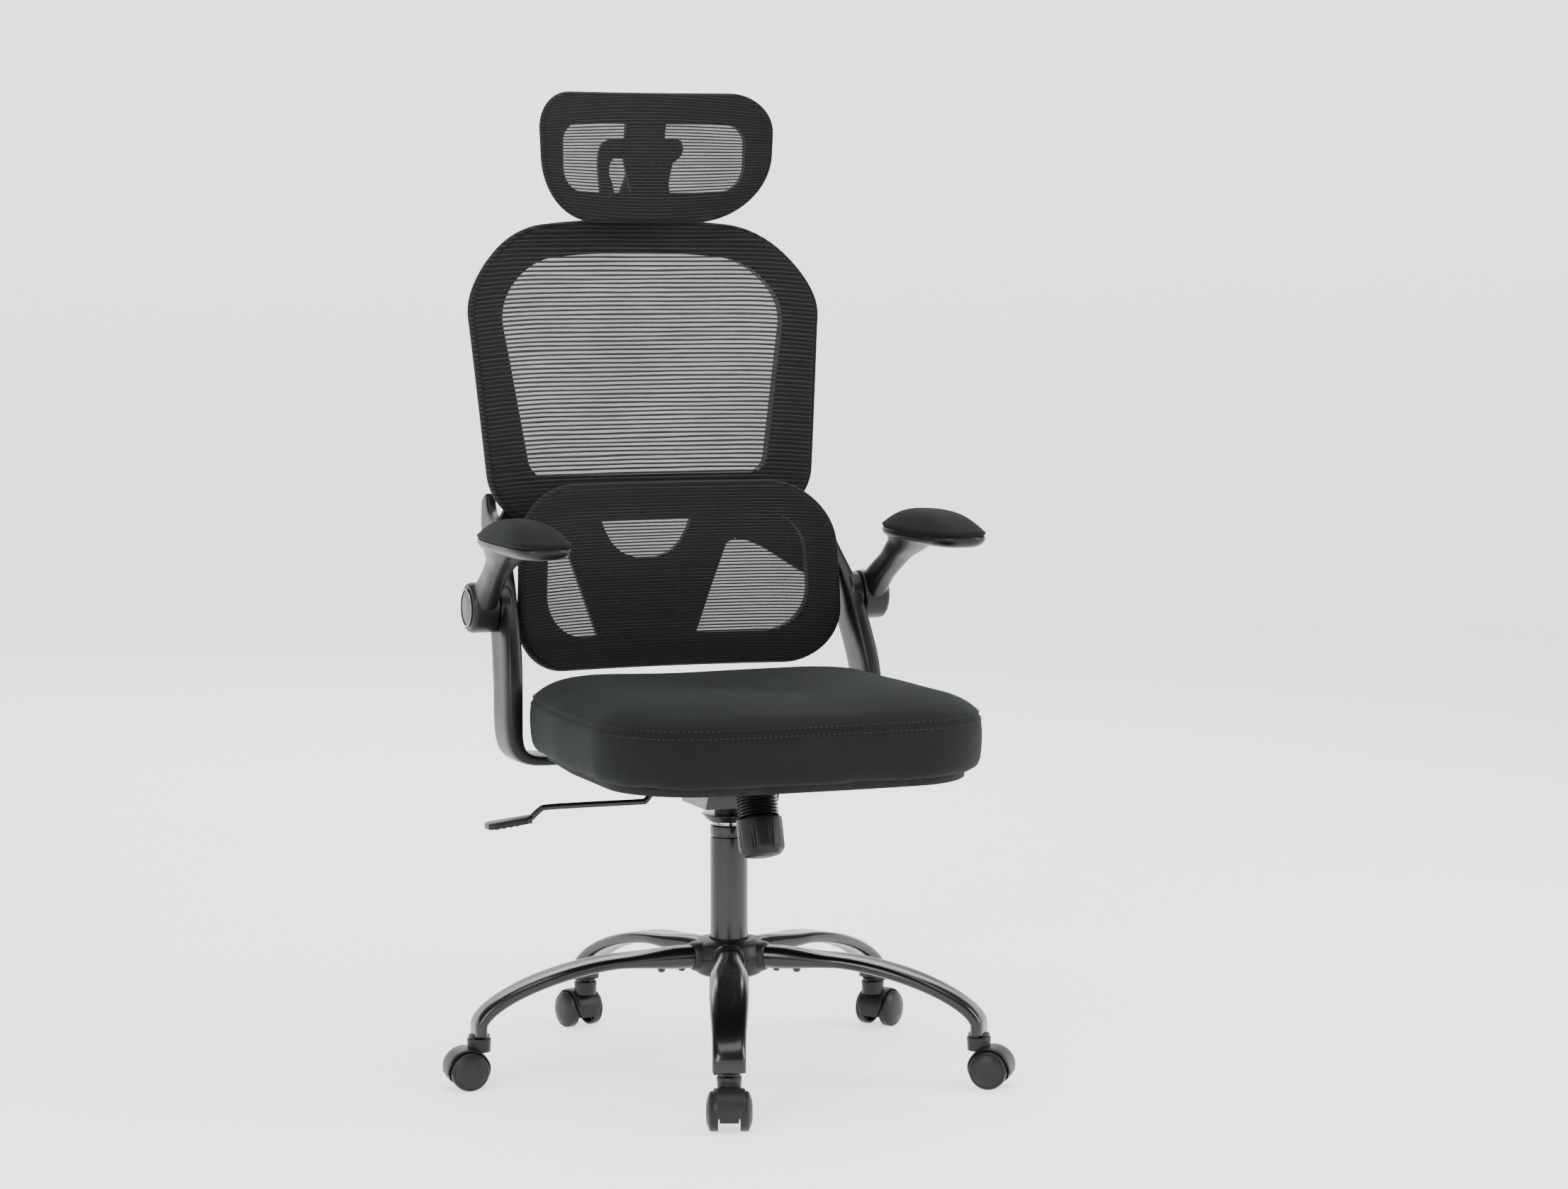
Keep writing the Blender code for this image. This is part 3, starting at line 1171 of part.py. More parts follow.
def apron():
    """The plate under the back's rim, with a bowl-shaped opening below the rim's lower edge."""
    joined = BACK_BOTTOM + 0.023
    outer = [(-APRON_TOP_HALF_WIDTH, joined), (-APRON_TOP_HALF_WIDTH, BACK_BOTTOM - 0.012),
             (-APRON_BOTTOM_HALF_WIDTH, APRON_BOTTOM), (APRON_BOTTOM_HALF_WIDTH, APRON_BOTTOM),
             (APRON_TOP_HALF_WIDTH, BACK_BOTTOM - 0.012), (APRON_TOP_HALF_WIDTH, joined)]
    depth = BACK_BOTTOM - BOWL_BOTTOM
    bowl = [(1.04, 1.0 + 0.023 / depth), (1.0, 1.0), (0.78, 0.34), (0.34, 0.0)]
    right = [(BOWL_HALF_WIDTH * x, BOWL_BOTTOM + depth * z) for x, z in bowl]
    outline = outer + right + [(-x, z) for x, z in reversed(right)]
    back = APRON_FRONT + APRON_THICKNESS
    return loft("apron", [[Vector((x, y, z)) for x, z in outline] for y in (APRON_FRONT, back)])


def post_y():
    """Depth of the headrest post's straight lower part, behind the back's rim."""
    return back_depth(0, BACK_TOP) + MESH_GAP + BACK_RIM_DEPTH + GUIDE_WALL + POST_THICKNESS / 2


def build_lumbar():
    """The lumbar support: a rim with the carrier that slides on the apron, and the mesh over it."""
    outline = rounded_outline([
        (-LUMBAR_HALF_WIDTH, LUMBAR_BOTTOM, LUMBAR_BOTTOM_RADIUS),
        (LUMBAR_HALF_WIDTH, LUMBAR_BOTTOM, LUMBAR_BOTTOM_RADIUS),
        (LUMBAR_HALF_WIDTH - 0.010, LUMBAR_TOP, LUMBAR_TOP_RADIUS),
        (-LUMBAR_HALF_WIDTH + 0.010, LUMBAR_TOP, LUMBAR_TOP_RADIUS)], 6)
    frame = rim("rim", spread(outline, 0.08), lambda point: LUMBAR_RAIL, lumbar_depth,
                LUMBAR_RIM_DEPTH, MESH_GAP)
    rail_y = lumbar_depth(0, CARRIER_BOTTOM) + MESH_GAP + LUMBAR_RIM_DEPTH * 0.4
    slide_y = APRON_FRONT - CLEARANCE
    arm = box("arm", (-CARRIER_HALF_WIDTH, rail_y, CARRIER_BOTTOM),
              (CARRIER_HALF_WIDTH, slide_y - CARRIER_THICKNESS / 2, CARRIER_ARM_TOP))
    slide = box("slide", (-CARRIER_HALF_WIDTH, slide_y - CARRIER_THICKNESS, CARRIER_BOTTOM),
                (CARRIER_HALF_WIDTH, slide_y, CARRIER_TOP))
    combine(arm, slide, "UNION")
    combine(frame, arm, "UNION")
    lumbar_frame = joint_frame("lumbar_axis", Vector((0, LUMBAR_Y, LUMBAR_BOTTOM)) - TILT_POINT, TILT)
    hang(frame, lumbar_frame, (0, LUMBAR_Y, LUMBAR_BOTTOM))
    finished(frame, "lumbar_frame", "plastic")
    mesh = panel("mesh", half_width_of(outline), LUMBAR_BOTTOM + 0.003, LUMBAR_TOP - 0.003,
                 lumbar_depth, MESH_THICKNESS, 8, 8, 0.003)
    hang(mesh, lumbar_frame, (0, LUMBAR_Y, LUMBAR_BOTTOM))
    finished(mesh, "lumbar_mesh", "mesh")


def build_headrest():
    """The post in the back's guide, and the headrest that tips on its hinge."""
    low_y = post_y()
    guide_point = Vector((0, low_y, POST_BOTTOM))
    post_frame = joint_frame("headrest_slide", guide_point - TILT_POINT, TILT)
    lug_gap = FIT * 2
    post = bar("post", [(0, low_y, POST_BOTTOM), (0, low_y, BACK_TOP - 0.010), (0, low_y, BACK_TOP + 0.012),
                        (0, low_y - 0.012, BACK_TOP + 0.040), (0, HINGE_Y + 0.002, HINGE_Z - 0.003)],
               2 * POST_HALF_WIDTH, POST_THICKNESS, 3)
    knuckle = cylinder("knuckle", HINGE_RADIUS, (-POST_HALF_WIDTH, HINGE_Y, HINGE_Z),
                       (POST_HALF_WIDTH, HINGE_Y, HINGE_Z), 24)
    combine(post, knuckle, "UNION")
    hang(post, post_frame, guide_point)
    finished(post, "headrest_post", "plastic")

    outline = rounded_outline([
        (-HEADREST_HALF_WIDTH + 0.012, HEADREST_BOTTOM, HEADREST_RADIUS),
        (HEADREST_HALF_WIDTH - 0.012, HEADREST_BOTTOM, HEADREST_RADIUS),
        (HEADREST_HALF_WIDTH, HEADREST_TOP, HEADREST_RADIUS),
        (-HEADREST_HALF_WIDTH, HEADREST_TOP, HEADREST_RADIUS)], 5)
    frame = rim("rim", spread(outline, 0.08), lambda point: HEADREST_RAIL, headrest_depth,
                HEADREST_RIM_DEPTH, MESH_GAP)
    behind = MESH_GAP + HEADREST_RIM_DEPTH / 2
    spine = bar("spine", [(0, headrest_depth(0, z) + behind, z) for z in
                          (HEADREST_BOTTOM + 0.012, 1.175, 1.235, HEADREST_TOP - 0.012)],
                0.060, HEADREST_RIM_DEPTH * 0.7)
    combine(frame, spine, "UNION")
    spine_back = headrest_depth(0, HINGE_Z) + behind
    for side in (-1, 1):
        near = side * (POST_HALF_WIDTH + lug_gap)
        far = side * (POST_HALF_WIDTH + lug_gap + 0.008)
        lug = box("lug", (min(near, far), spine_back, HINGE_Z - HINGE_RADIUS),
                  (max(near, far), HINGE_Y + HINGE_RADIUS, HINGE_Z + HINGE_RADIUS))
        combine(frame, lug, "UNION")
    hinge_frame = joint_frame("headrest_hinge", Vector((0, HINGE_Y, HINGE_Z)) - guide_point, post_frame)
    hang(frame, hinge_frame, (0, HINGE_Y, HINGE_Z))
    finished(frame, "headrest_frame", "plastic")
    mesh = panel("mesh", half_width_of(outline), HEADREST_BOTTOM + 0.003, HEADREST_TOP - 0.003,
                 headrest_depth, MESH_THICKNESS, 8, 8, 0.003)
    hang(mesh, hinge_frame, (0, HINGE_Y, HINGE_Z))
    finished(mesh, "headrest_mesh", "mesh")


build_base()
for castor in range(LEG_COUNT):
    build_castor(castor)
build_lift()
build_mechanism()
build_seat()
for hand, label in ((1, "left"), (-1, "right")):
    build_upright(hand, f"upright_{label}")
    build_arm(hand, label)
build_back()
build_lumbar()
build_headrest()
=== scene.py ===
import json
import math

import bmesh
import bpy
from mathutils import Matrix, Vector, noise
from mathutils.geometry import delaunay_2d_cdt


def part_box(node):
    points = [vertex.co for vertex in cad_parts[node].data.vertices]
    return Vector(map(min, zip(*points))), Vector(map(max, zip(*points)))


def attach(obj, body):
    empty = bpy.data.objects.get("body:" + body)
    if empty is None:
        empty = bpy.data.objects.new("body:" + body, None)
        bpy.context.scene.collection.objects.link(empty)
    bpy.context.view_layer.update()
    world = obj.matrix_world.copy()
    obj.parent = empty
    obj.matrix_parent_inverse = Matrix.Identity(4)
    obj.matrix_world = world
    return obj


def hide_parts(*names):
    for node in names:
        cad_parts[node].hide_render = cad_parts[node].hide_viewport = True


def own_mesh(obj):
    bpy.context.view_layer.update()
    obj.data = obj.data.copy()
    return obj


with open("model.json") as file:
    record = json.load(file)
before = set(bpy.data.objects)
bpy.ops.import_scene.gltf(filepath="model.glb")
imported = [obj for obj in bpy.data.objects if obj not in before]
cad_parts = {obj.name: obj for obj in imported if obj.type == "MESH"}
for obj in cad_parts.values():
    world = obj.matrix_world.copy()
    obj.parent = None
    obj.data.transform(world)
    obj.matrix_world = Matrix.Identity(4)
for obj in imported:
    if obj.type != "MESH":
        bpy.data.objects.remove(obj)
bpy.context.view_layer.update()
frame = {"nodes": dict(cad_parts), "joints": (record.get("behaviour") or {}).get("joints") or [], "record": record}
JOINTS = {j["name"]: j for j in frame["joints"]}


TUBE_LOW, TUBE_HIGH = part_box("column_tube")
COLUMN = Vector(((TUBE_LOW.x + TUBE_HIGH.x) / 2, (TUBE_LOW.y + TUBE_HIGH.y) / 2, 0.0))
ON_COLUMN = Matrix.Translation(COLUMN)
TO_CENTRE = Matrix.Translation((COLUMN.x, 0, 0))
X_AXIS, Y_AXIS = Vector((1, 0, 0)), Vector((0, 1, 0))
CROSSWISE = Matrix.Rotation(math.radians(90), 4, "Y")
POLE = 0.00002  # radius at which a turned form closes on its axis


# ------------------------------------------------------------------ node helpers
class Nodes:
    """A material's node tree with short calls."""

    def __init__(self, name, base, rough, metallic=0.0):
        self.mat = bpy.data.materials.new(name)
        self.mat.use_nodes = True
        self.tree = self.mat.node_tree
        self.shader = self.tree.nodes["Principled BSDF"]
        self.set("Base Color", (*base, 1.0))
        self.set("Roughness", rough)
        self.set("Metallic", metallic)

    def set(self, socket, value):
        self.shader.inputs[socket].default_value = value

    def add(self, kind):
        return self.tree.nodes.new(kind)

    def link(self, a, b):
        self.tree.links.new(a, b)

    def drive(self, socket, value):
        self.link(value, self.shader.inputs[socket])

    def split(self, vector):
        node = self.add("ShaderNodeSeparateXYZ")
        self.link(vector, node.inputs["Vector"])
        return node.outputs["X"], node.outputs["Y"]

    def coords(self, which="Object", scale=(1, 1, 1)):
        source = self.add("ShaderNodeTexCoord")
        mapping = self.add("ShaderNodeMapping")
        mapping.inputs["Scale"].default_value = scale
        self.link(source.outputs[which], mapping.inputs["Vector"])
        return mapping.outputs["Vector"]

    def noise(self, vector, scale, detail=3.0, rough=0.55):
        node = self.add("ShaderNodeTexNoise")
        node.inputs["Scale"].default_value = scale
        node.inputs["Detail"].default_value = detail
        node.inputs["Roughness"].default_value = rough
        self.link(vector, node.inputs["Vector"])
        return node.outputs["Fac"]

    def ramp(self, value, low, high, start, end):
        node = self.add("ShaderNodeMapRange")
        node.inputs["From Min"].default_value = low
        node.inputs["From Max"].default_value = high
        node.inputs["To Min"].default_value = start
        node.inputs["To Max"].default_value = end
        self.link(value, node.inputs["Value"])
        return node.outputs["Result"]

    def math(self, operation, a, b=None, c=None, clamp=False):
        node = self.add("ShaderNodeMath")
        node.operation = operation
        node.use_clamp = clamp
        for i, value in enumerate((a, b, c)):
            if value is None:
                continue
            if isinstance(value, (int, float)):
                node.inputs[i].default_value = value
            else:
                self.link(value, node.inputs[i])
        return node.outputs[0]

    def mix(self, fac, a, b):
        node = self.add("ShaderNodeMix")
        node.data_type = "RGBA"
        self.link(fac, node.inputs["Factor"])
        node.inputs["A"].default_value = (*a, 1.0)
        node.inputs["B"].default_value = (*b, 1.0)
        return node.outputs["Result"]

    def bump(self, height, distance, strength=1.0, below=None):
        node = self.add("ShaderNodeBump")
        node.inputs["Strength"].default_value = strength
        node.inputs["Distance"].default_value = distance
        self.link(height, node.inputs["Height"])
        if below is not None:
            self.link(below, node.inputs["Normal"])
        self.link(node.outputs["Normal"], self.shader.inputs["Normal"])
        return node.outputs["Normal"]


def shade(base, share):
    return [c * share for c in base]


def moulded(name, base, rough, grain=900.0, depth=0.00006):
    """Moulded plastic: fine spark-eroded grain, slow unevenness of colour and gloss, handling marks."""
    n = Nodes(name, base, rough)
    at = n.coords()
    slow = n.noise(at, 14.0, 4.0)
    marks = n.noise(at, 70.0, 5.0, 0.7)
    light = [c * 1.25 + 0.001 for c in base]
    n.drive("Base Color", n.mix(n.ramp(slow, 0.3, 0.7, 0.0, 1.0), shade(base, 0.85), light))
    n.drive("Roughness", n.math("ADD", n.ramp(slow, 0.3, 0.7, rough - 0.05, rough + 0.06),
                                n.ramp(marks, 0.55, 0.8, 0.0, 0.07)))
    ripple = n.bump(n.noise(at, 35.0, 2.0), 0.0004, 0.25)
    n.bump(n.noise(at, grain, 2.0), depth, 0.6, ripple)
    n.set("Specular IOR Level", 0.24)
    return n.mat


def painted(name, base, rough):
    """Stoved paint over steel: faint orange peel under a clear skin, dust in the gloss."""
    n = Nodes(name, base, rough)
    at = n.coords()
    slow = n.noise(at, 9.0, 3.0)
    n.drive("Base Color", n.mix(slow, shade(base, 0.8), shade(base, 1.3)))
    n.drive("Roughness", n.math("ADD", n.ramp(slow, 0.3, 0.7, rough - 0.04, rough + 0.05),
                                n.ramp(n.noise(at, 260.0, 3.0), 0.58, 0.75, 0.0, 0.02)))
    n.bump(n.noise(at, 60.0, 1.0), 0.00004, 0.10)
    n.set("Coat Weight", 0.20)
    n.set("Coat Roughness", 0.12)
    n.set("Specular IOR Level", 0.34)
    return n.mat


def metal(name, base, rough, streak=(3.0, 3.0, 260.0)):
    """Bright metal with fine turning marks."""
    n = Nodes(name, base, rough, 1.0)
    lines = n.noise(n.coords("Object", streak), 6.0, 3.0)
    cloud = n.noise(n.coords(), 30.0, 4.0)
    n.drive("Roughness", n.math("ADD", n.ramp(lines, 0.3, 0.7, rough * 0.6, rough * 1.5),
                                n.ramp(cloud, 0.5, 0.8, 0.0, 0.05)))
    n.drive("Base Color", n.mix(cloud, shade(base, 0.9), base))
    n.bump(lines, 0.00001, 0.4)
    return n.mat


def knit(name, base, pitch=0.0016, uv=True):
    """A fine warp-knit: rows of small loops on a diagonal, fuzzy at grazing angles."""
    n = Nodes(name, base, 0.88)
    u, v = n.split(n.coords("UV" if uv else "Object"))
    turn = 2 * math.pi / pitch * 0.7071
    first = n.math("SINE", n.math("MULTIPLY", n.math("ADD", u, v), turn))
    second = n.math("SINE", n.math("MULTIPLY", n.math("SUBTRACT", u, v), turn))
    loops = n.math("MULTIPLY_ADD", n.math("MULTIPLY", first, second), 0.5, 0.5)
    fuzz = n.noise(n.coords(), 1800.0, 3.0, 0.7)
    slow = n.noise(n.coords(), 11.0, 4.0)
    tone = n.math("ADD", n.math("MULTIPLY", loops, 0.55), n.math("MULTIPLY", fuzz, 0.45))
    tone = n.math("ADD", tone, n.ramp(slow, 0.3, 0.7, -0.12, 0.12))
    n.drive("Base Color", n.mix(tone, shade(base, 0.55), shade(base, 1.55)))
    n.drive("Roughness", n.ramp(fuzz, 0.2, 0.8, 0.80, 0.96))
    soft = n.bump(slow, 0.002, 0.15)
    n.bump(tone, 0.00035, 0.8, soft)
    n.set("Sheen Weight", 0.030)
    n.set("Sheen Roughness", 0.45)
    n.set("Sheen Tint", (0.62, 0.66, 0.68, 1.0))
    n.set("Specular IOR Level", 0.18)
    return n.mat


def ribbed(name, pitch, openness, crest_highlight=0.040, floor=0.0055):
    """Stretched ribbed mesh: close-knit ribs with an open, speckled net between them; the rib crests carry a
    painted highlight, a lighter grey in their colour.
    """
    dark = (floor, floor * 1.05, floor * 1.08)
    n = Nodes(name, dark, 0.85)
    height = n.split(n.coords("UV"))[1]
    wander = n.ramp(n.noise(n.coords("UV", (5.0, 60.0, 1.0)), 1.0, 3.0), 0.3, 0.7, -0.14, 0.14)
    phase = n.math("ADD", n.math("MULTIPLY", height, 1.0 / pitch), wander)
    near = n.math("MULTIPLY", n.math("ABSOLUTE", n.math("SUBTRACT", n.math("FRACT", phase), 0.5)), 2.0)
    rib = n.ramp(near, 0.44, 0.64, 0.0, 1.0)
    # mask of the rib crests, where the painted highlight goes
    crest_highlight_mask = n.ramp(near, 0.62, 0.97, 0.0, 1.0)
    yarn = n.noise(n.coords("UV", (1.0, 1.7, 1.0)), 1500.0, 2.0, 0.65)
    holes = n.ramp(yarn, 0.40, 0.60, 1.0, 0.0)
    cloud = n.ramp(n.noise(n.coords("UV"), 9.0, 4.0), 0.3, 0.7, 0.86, 1.08)
    gap = n.math("MULTIPLY", n.math("MULTIPLY", holes, n.math("MULTIPLY", cloud, openness)),
                 n.math("SUBTRACT", 1.0, rib), clamp=True)
    n.drive("Alpha", n.math("SUBTRACT", 1.0, gap, clamp=True))
    # painted highlight: the crests are coloured a lighter grey to stand for the light they catch
    tone = n.math("MULTIPLY", crest_highlight_mask, n.ramp(yarn, 0.2, 0.8, 0.45, 1.15), clamp=True)
    n.drive("Base Color", n.mix(tone, dark, (crest_highlight * 0.92, crest_highlight, crest_highlight * 1.02)))
    n.drive("Roughness", n.ramp(yarn, 0.2, 0.8, 0.72, 0.95))
    weave = n.bump(crest_highlight_mask, 0.0006, 0.9)
    n.bump(yarn, 0.00025, 0.7, weave)
    n.set("Sheen Weight", 0.02)
    n.set("Sheen Roughness", 0.5)
    n.set("Specular IOR Level", 0.2)
    return n.mat


def plywood(name):
    """Bare plywood: plies on the edge, grain along the face."""
    n = Nodes(name, (0.30, 0.22, 0.14), 0.75)
    plies = n.noise(n.coords("Object", (1.0, 1.0, 620.0)), 1.0, 1.0)
    grain = n.noise(n.coords("Object", (12.0, 180.0, 40.0)), 1.0, 5.0, 0.6)
    both = n.math("ADD", n.math("MULTIPLY", plies, 0.5), n.math("MULTIPLY", grain, 0.5))
    n.drive("Base Color", n.mix(both, (0.16, 0.105, 0.06), (0.42, 0.31, 0.20)))
    n.drive("Roughness", n.ramp(grain, 0.3, 0.7, 0.6, 0.85))
    n.bump(grain, 0.0003, 0.5)
    return n.mat


NYLON = moulded("castor_nylon", (0.0075, 0.0082, 0.0086), 0.42)
SATIN = moulded("satin_plastic", (0.0036, 0.0041, 0.0043), 0.36, 1100.0, 0.00004)
RUBBERY = moulded("boot_rubber", (0.004, 0.0044, 0.0046), 0.30, 700.0, 0.00005)
GLOSSY = moulded("gloss_plastic", (0.003, 0.0033, 0.0034), 0.20, 500.0, 0.00001)
PAINT = painted("black_paint", (0.0026, 0.0029, 0.0030), 0.25)
CHROME = metal("cylinder_chrome", (0.78, 0.79, 0.80), 0.07)
STEEL = metal("zinc_steel", (0.42, 0.42, 0.43), 0.30, (40.0, 40.0, 40.0))
EDGE = metal("cap_rim", (0.34, 0.35, 0.36), 0.22, (30.0, 30.0, 30.0))
FABRIC = knit("seat_knit", (0.0042, 0.0048, 0.0050))
PAD = knit("arm_pad_knit", (0.0034, 0.0039, 0.0040), 0.0011)
THREAD = knit("sewing_thread", (0.0260, 0.0280, 0.0285), 0.0006, False)
# the third value is the grey of the painted highlight on the rib crests
BACK_NET = ribbed("back_net", 0.0061, 0.52, 0.036)
LUMBAR_NET = ribbed("lumbar_net", 0.0043, 0.42, 0.030)
HEAD_NET = ribbed("headrest_net", 0.0045, 0.44, 0.034)
BACK_WRAP = ribbed("back_wrap", 0.0061, 0.0, 0.034, 0.0026)
LUMBAR_WRAP = ribbed("lumbar_wrap", 0.0043, 0.0, 0.028, 0.0026)
HEAD_WRAP = ribbed("headrest_wrap", 0.0045, 0.0, 0.032, 0.0026)
BOARD = plywood("seat_plywood")
COVER = knit("dust_cover", (0.010, 0.010, 0.011), 0.0022, False)

BY_SLOT = {"black_paint": PAINT, "nylon": NYLON, "plastic": SATIN, "chrome": CHROME, "steel": STEEL,
           "knit_fabric": FABRIC, "mesh_fabric": BACK_WRAP, "plywood": BOARD}
for part in frame["record"]["subparts"]:
    node = frame["nodes"][part["node"]]
    node.data.materials.clear()
    node.data.materials.append(BY_SLOT[part["material_slot"]])


# ------------------------------------------------------------------ shape helpers
def blend(a, b, t):
    return a + (b - a) * t


def eased(t):
    t = min(max(t, 0.0), 1.0)
    return t * t * (3 - 2 * t)


def joined(name, bm, material):
    """Turn a bmesh into an object of one material."""
    bmesh.ops.recalc_face_normals(bm, faces=bm.faces)
    mesh = bpy.data.meshes.new(name)
    bm.to_mesh(mesh)
    bm.free()
    mesh.materials.append(material)
    mesh.shade_smooth()
    obj = bpy.data.objects.new(name, mesh)
    bpy.context.scene.collection.objects.link(obj)
    return obj


def finish(name, bm, material, body, slot, angle=40.0, stands_for=()):
    """Turn a bmesh into a piece that rides on a body, in place of some CAD nodes."""
    obj = joined(name, bm, material)
    obj.data.set_sharp_from_angle(angle=math.radians(angle))
    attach(obj, body)
    if stands_for:
        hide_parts(*stands_for)
    return obj


def around(steps):
    """Evenly spaced angles of one turn."""
    return [2 * math.pi * i / steps for i in range(steps)]


def skin(bm, rings, closed=False, caps=True):
    """Quads over closed rings of points. UVs are in metres."""
    layer = bm.loops.layers.uv.verify()
    rows = [[bm.verts.new(p) for p in ring] for ring in rings]
    count = len(rings)
    width = len(rings[0])
    longest = max(rings, key=lambda r: sum((r[(i + 1) % width] - r[i]).length for i in range(width)))
    across = [0.0]
    for i in range(width):
        across.append(across[-1] + (longest[(i + 1) % width] - longest[i]).length)
    along = [0.0]
    for i in range(count):
        step = sum((rings[(i + 1) % count][j] - rings[i][j]).length for j in range(0, width, 3))
        along.append(along[-1] + step / len(range(0, width, 3)))
    for i in range(count if closed else count - 1):
        k = (i + 1) % count
        for j in range(width):
            m = (j + 1) % width
            face = bm.faces.new((rows[i][j], rows[i][m], rows[k][m], rows[k][j]))
            places = ((j, i), (j + 1, i), (j + 1, i + 1), (j, i + 1))
            for corner, (a, b) in zip(face.loops, places):
                corner[layer].uv = (across[a], along[b])
    if caps and not closed:
        for ring, row in ((rings[0], rows[0]), (rings[-1], rows[-1])):
            centre = bm.verts.new(sum(ring, Vector()) / width)
            for j in range(width):
                bm.faces.new((row[j], row[(j + 1) % width], centre))


def spun(bm, profile, steps, matrix):
    """A turned form about Z through (radius, height) points, its ends closed on the axis."""
    rings = []
    for radius, z in profile:
        radius = max(radius, POLE)
        rings.append([matrix @ Vector((radius * math.cos(a), radius * math.sin(a), z))
                      for a in around(steps)])
    skin(bm, rings)


def softened(profile, radius):
    """Round the corners of a profile with short arcs."""
    result = [profile[0]]
    for before, corner, after in zip(profile, profile[1:], profile[2:]):
        p, q, r = Vector(before), Vector(corner), Vector(after)
        reach = min(radius, (p - q).length * 0.45, (r - q).length * 0.45)
        start = q + (p - q).normalized() * reach
        end = q + (r - q).normalized() * reach
        for i in range(4):
            t = i / 3
            result.append(tuple((1 - t) ** 2 * start + 2 * t * (1 - t) * q + t * t * end))
    result.append(profile[-1])
    return result


def turned(name, profile, rounding, steps, matrix, *looks):
    """A turned piece with rounded corners; the rest of the values are those of `finish`."""
    bm = bmesh.new()
    spun(bm, softened(profile, rounding) if rounding else profile, steps, matrix)
    return finish(name, bm, *looks)


def oval(width, height, points=24, power=2.6, dish_top=0.0, dish_under=0.0):
    """A rounded section; its top and underside can be dished."""
    result = []
    for a in around(points):
        c, s = math.cos(a), math.sin(a)
        x = width / 2 * math.copysign(abs(c) ** (2 / power), c)
        y = height / 2 * math.copysign(abs(s) ** (2 / power), s)
        middle_share = max(0.0, 1 - (x / (width * 0.40)) ** 2) ** 2
        y -= middle_share * (dish_top if s > 0 else -dish_under)
        result.append((x, y))
    return result


def placed(section, centre, across, up):
    return [centre + across * x + up * y for x, y in section]


def smooth_path(knots, per_span):
    """Points on a Catmull-Rom curve through tuples of numbers."""
    rows = [Vector(k) for k in knots]
    rows = [2 * rows[0] - rows[1]] + rows + [2 * rows[-1] - rows[-2]]
    points = []
    for i in range(1, len(rows) - 2):
        p0, p1, p2, p3 = rows[i - 1:i + 3]
        for step in range(per_span):
            t = step / per_span
            points.append(0.5 * (2 * p1 + (p2 - p0) * t + (2 * p0 - 5 * p1 + 4 * p2 - p3) * t ** 2
                                 + (3 * p1 - p0 - 3 * p2 + p3) * t ** 3))
    points.append(rows[-2])
    return points


def rounded_outline(corners, arc_points):
    """A closed outline with each corner (x, z, radius) rounded by an arc."""
    outline = []
    count = len(corners)
    for i in range(count):
        corner = Vector(corners[i][:2])
        before = (Vector(corners[i - 1][:2]) - corner).normalized()
        after = (Vector(corners[(i + 1) % count][:2]) - corner).normalized()
        half = before.angle(after) / 2
        radius = corners[i][2]
        centre = corner + (before + after).normalized() * radius / math.sin(half)
        start = corner + before * radius / math.tan(half) - centre
        end = corner + after * radius / math.tan(half) - centre
        sweep = start.angle_signed(end)
        for j in range(arc_points):
            turn = Matrix.Rotation(-sweep * j / (arc_points - 1), 2)
            outline.append(centre + turn @ start)
    return outline


def spread(outline, longest):
    """Add points on an outline's long straight stretches."""
    result = []
    count = len(outline)
    for i in range(count):
        a = outline[i]
        b = outline[(i + 1) % count]
        pieces = max(1, math.ceil((b - a).length / longest))
        result += [a + (b - a) * (k / pieces) for k in range(pieces)]
    return result


def half_width_of(outline):
    def at(z):
        best = 0.0
        for a, b in zip(outline, outline[1:] + outline[:1]):
            if (a.y - z) * (b.y - z) <= 0 and abs(a.y - b.y) > 1e-9:
                best = max(best, abs(blend(a.x, b.x, (z - a.y) / (b.y - a.y))))
        return best
    return at


def within(outline, x, z):
    """Whether a point lies inside an outline."""
    odd = False
    for a, b in zip(outline, outline[1:] + outline[:1]):
        if (a.y > z) != (b.y > z) and x < a.x + (z - a.y) / (b.y - a.y) * (b.x - a.x):
            odd = not odd
    return odd


def edge_distance(outline, x, z):
    """How far a point lies inside an outline."""
    best = 1.0
    p = Vector((x, z))
    for a, b in zip(outline, outline[1:] + outline[:1]):
        d = b - a
        t = min(max((p - a).dot(d) / d.length_squared, 0.0), 1.0)
        best = min(best, (a + d * t - p).length)
    return best


def heading(points, i):
    """The direction of a path at its point i."""
    return (points[min(i + 1, len(points) - 1)] - points[max(i - 1, 0)]).normalized()


def inward_at(outline, i, centre):
    """The direction into an outline at its point i."""
    along = (outline[(i + 1) % len(outline)] - outline[i - 1]).normalized()
    inward = Vector((-along.y, along.x))
    return -inward if inward.dot(centre - outline[i]) < 0 else inward


def from_level(level, rows):
    """Rows of (height, value) with the heights counted from a level."""
    return [(level + height, value) for height, value in rows]


def tube(bm, points, radius, sides=8):
    """A round bar along points."""
    rings = []
    normal = None
    for i, p in enumerate(points):
        along = heading(points, i)
        if normal is None:
            normal = along.orthogonal().normalized()
        normal = (normal - along * normal.dot(along)).normalized()
        side = along.cross(normal)
        rings.append([p + (normal * math.cos(a) + side * math.sin(a)) * radius for a in around(sides)])
    skin(bm, rings)


def block(bm, low, high, bevel=0.002, matrix=None):
    """A moulded block with rounded edges."""
    low, high = Vector(low), Vector(high)
    start = len(bm.verts)
    made = bmesh.ops.create_cube(bm, size=1.0)["verts"]
    for v in made:
        v.co = Vector([blend(low[k], high[k], v.co[k] + 0.5) for k in range(3)])
    edges = list({e for v in made for e in v.link_edges})
    bmesh.ops.bevel(bm, geom=edges, offset=bevel, segments=3, affect="EDGES", profile=0.6)
    if matrix:
        bm.verts.ensure_lookup_table()
        for v in bm.verts[start:]:
            v.co = matrix @ v.co


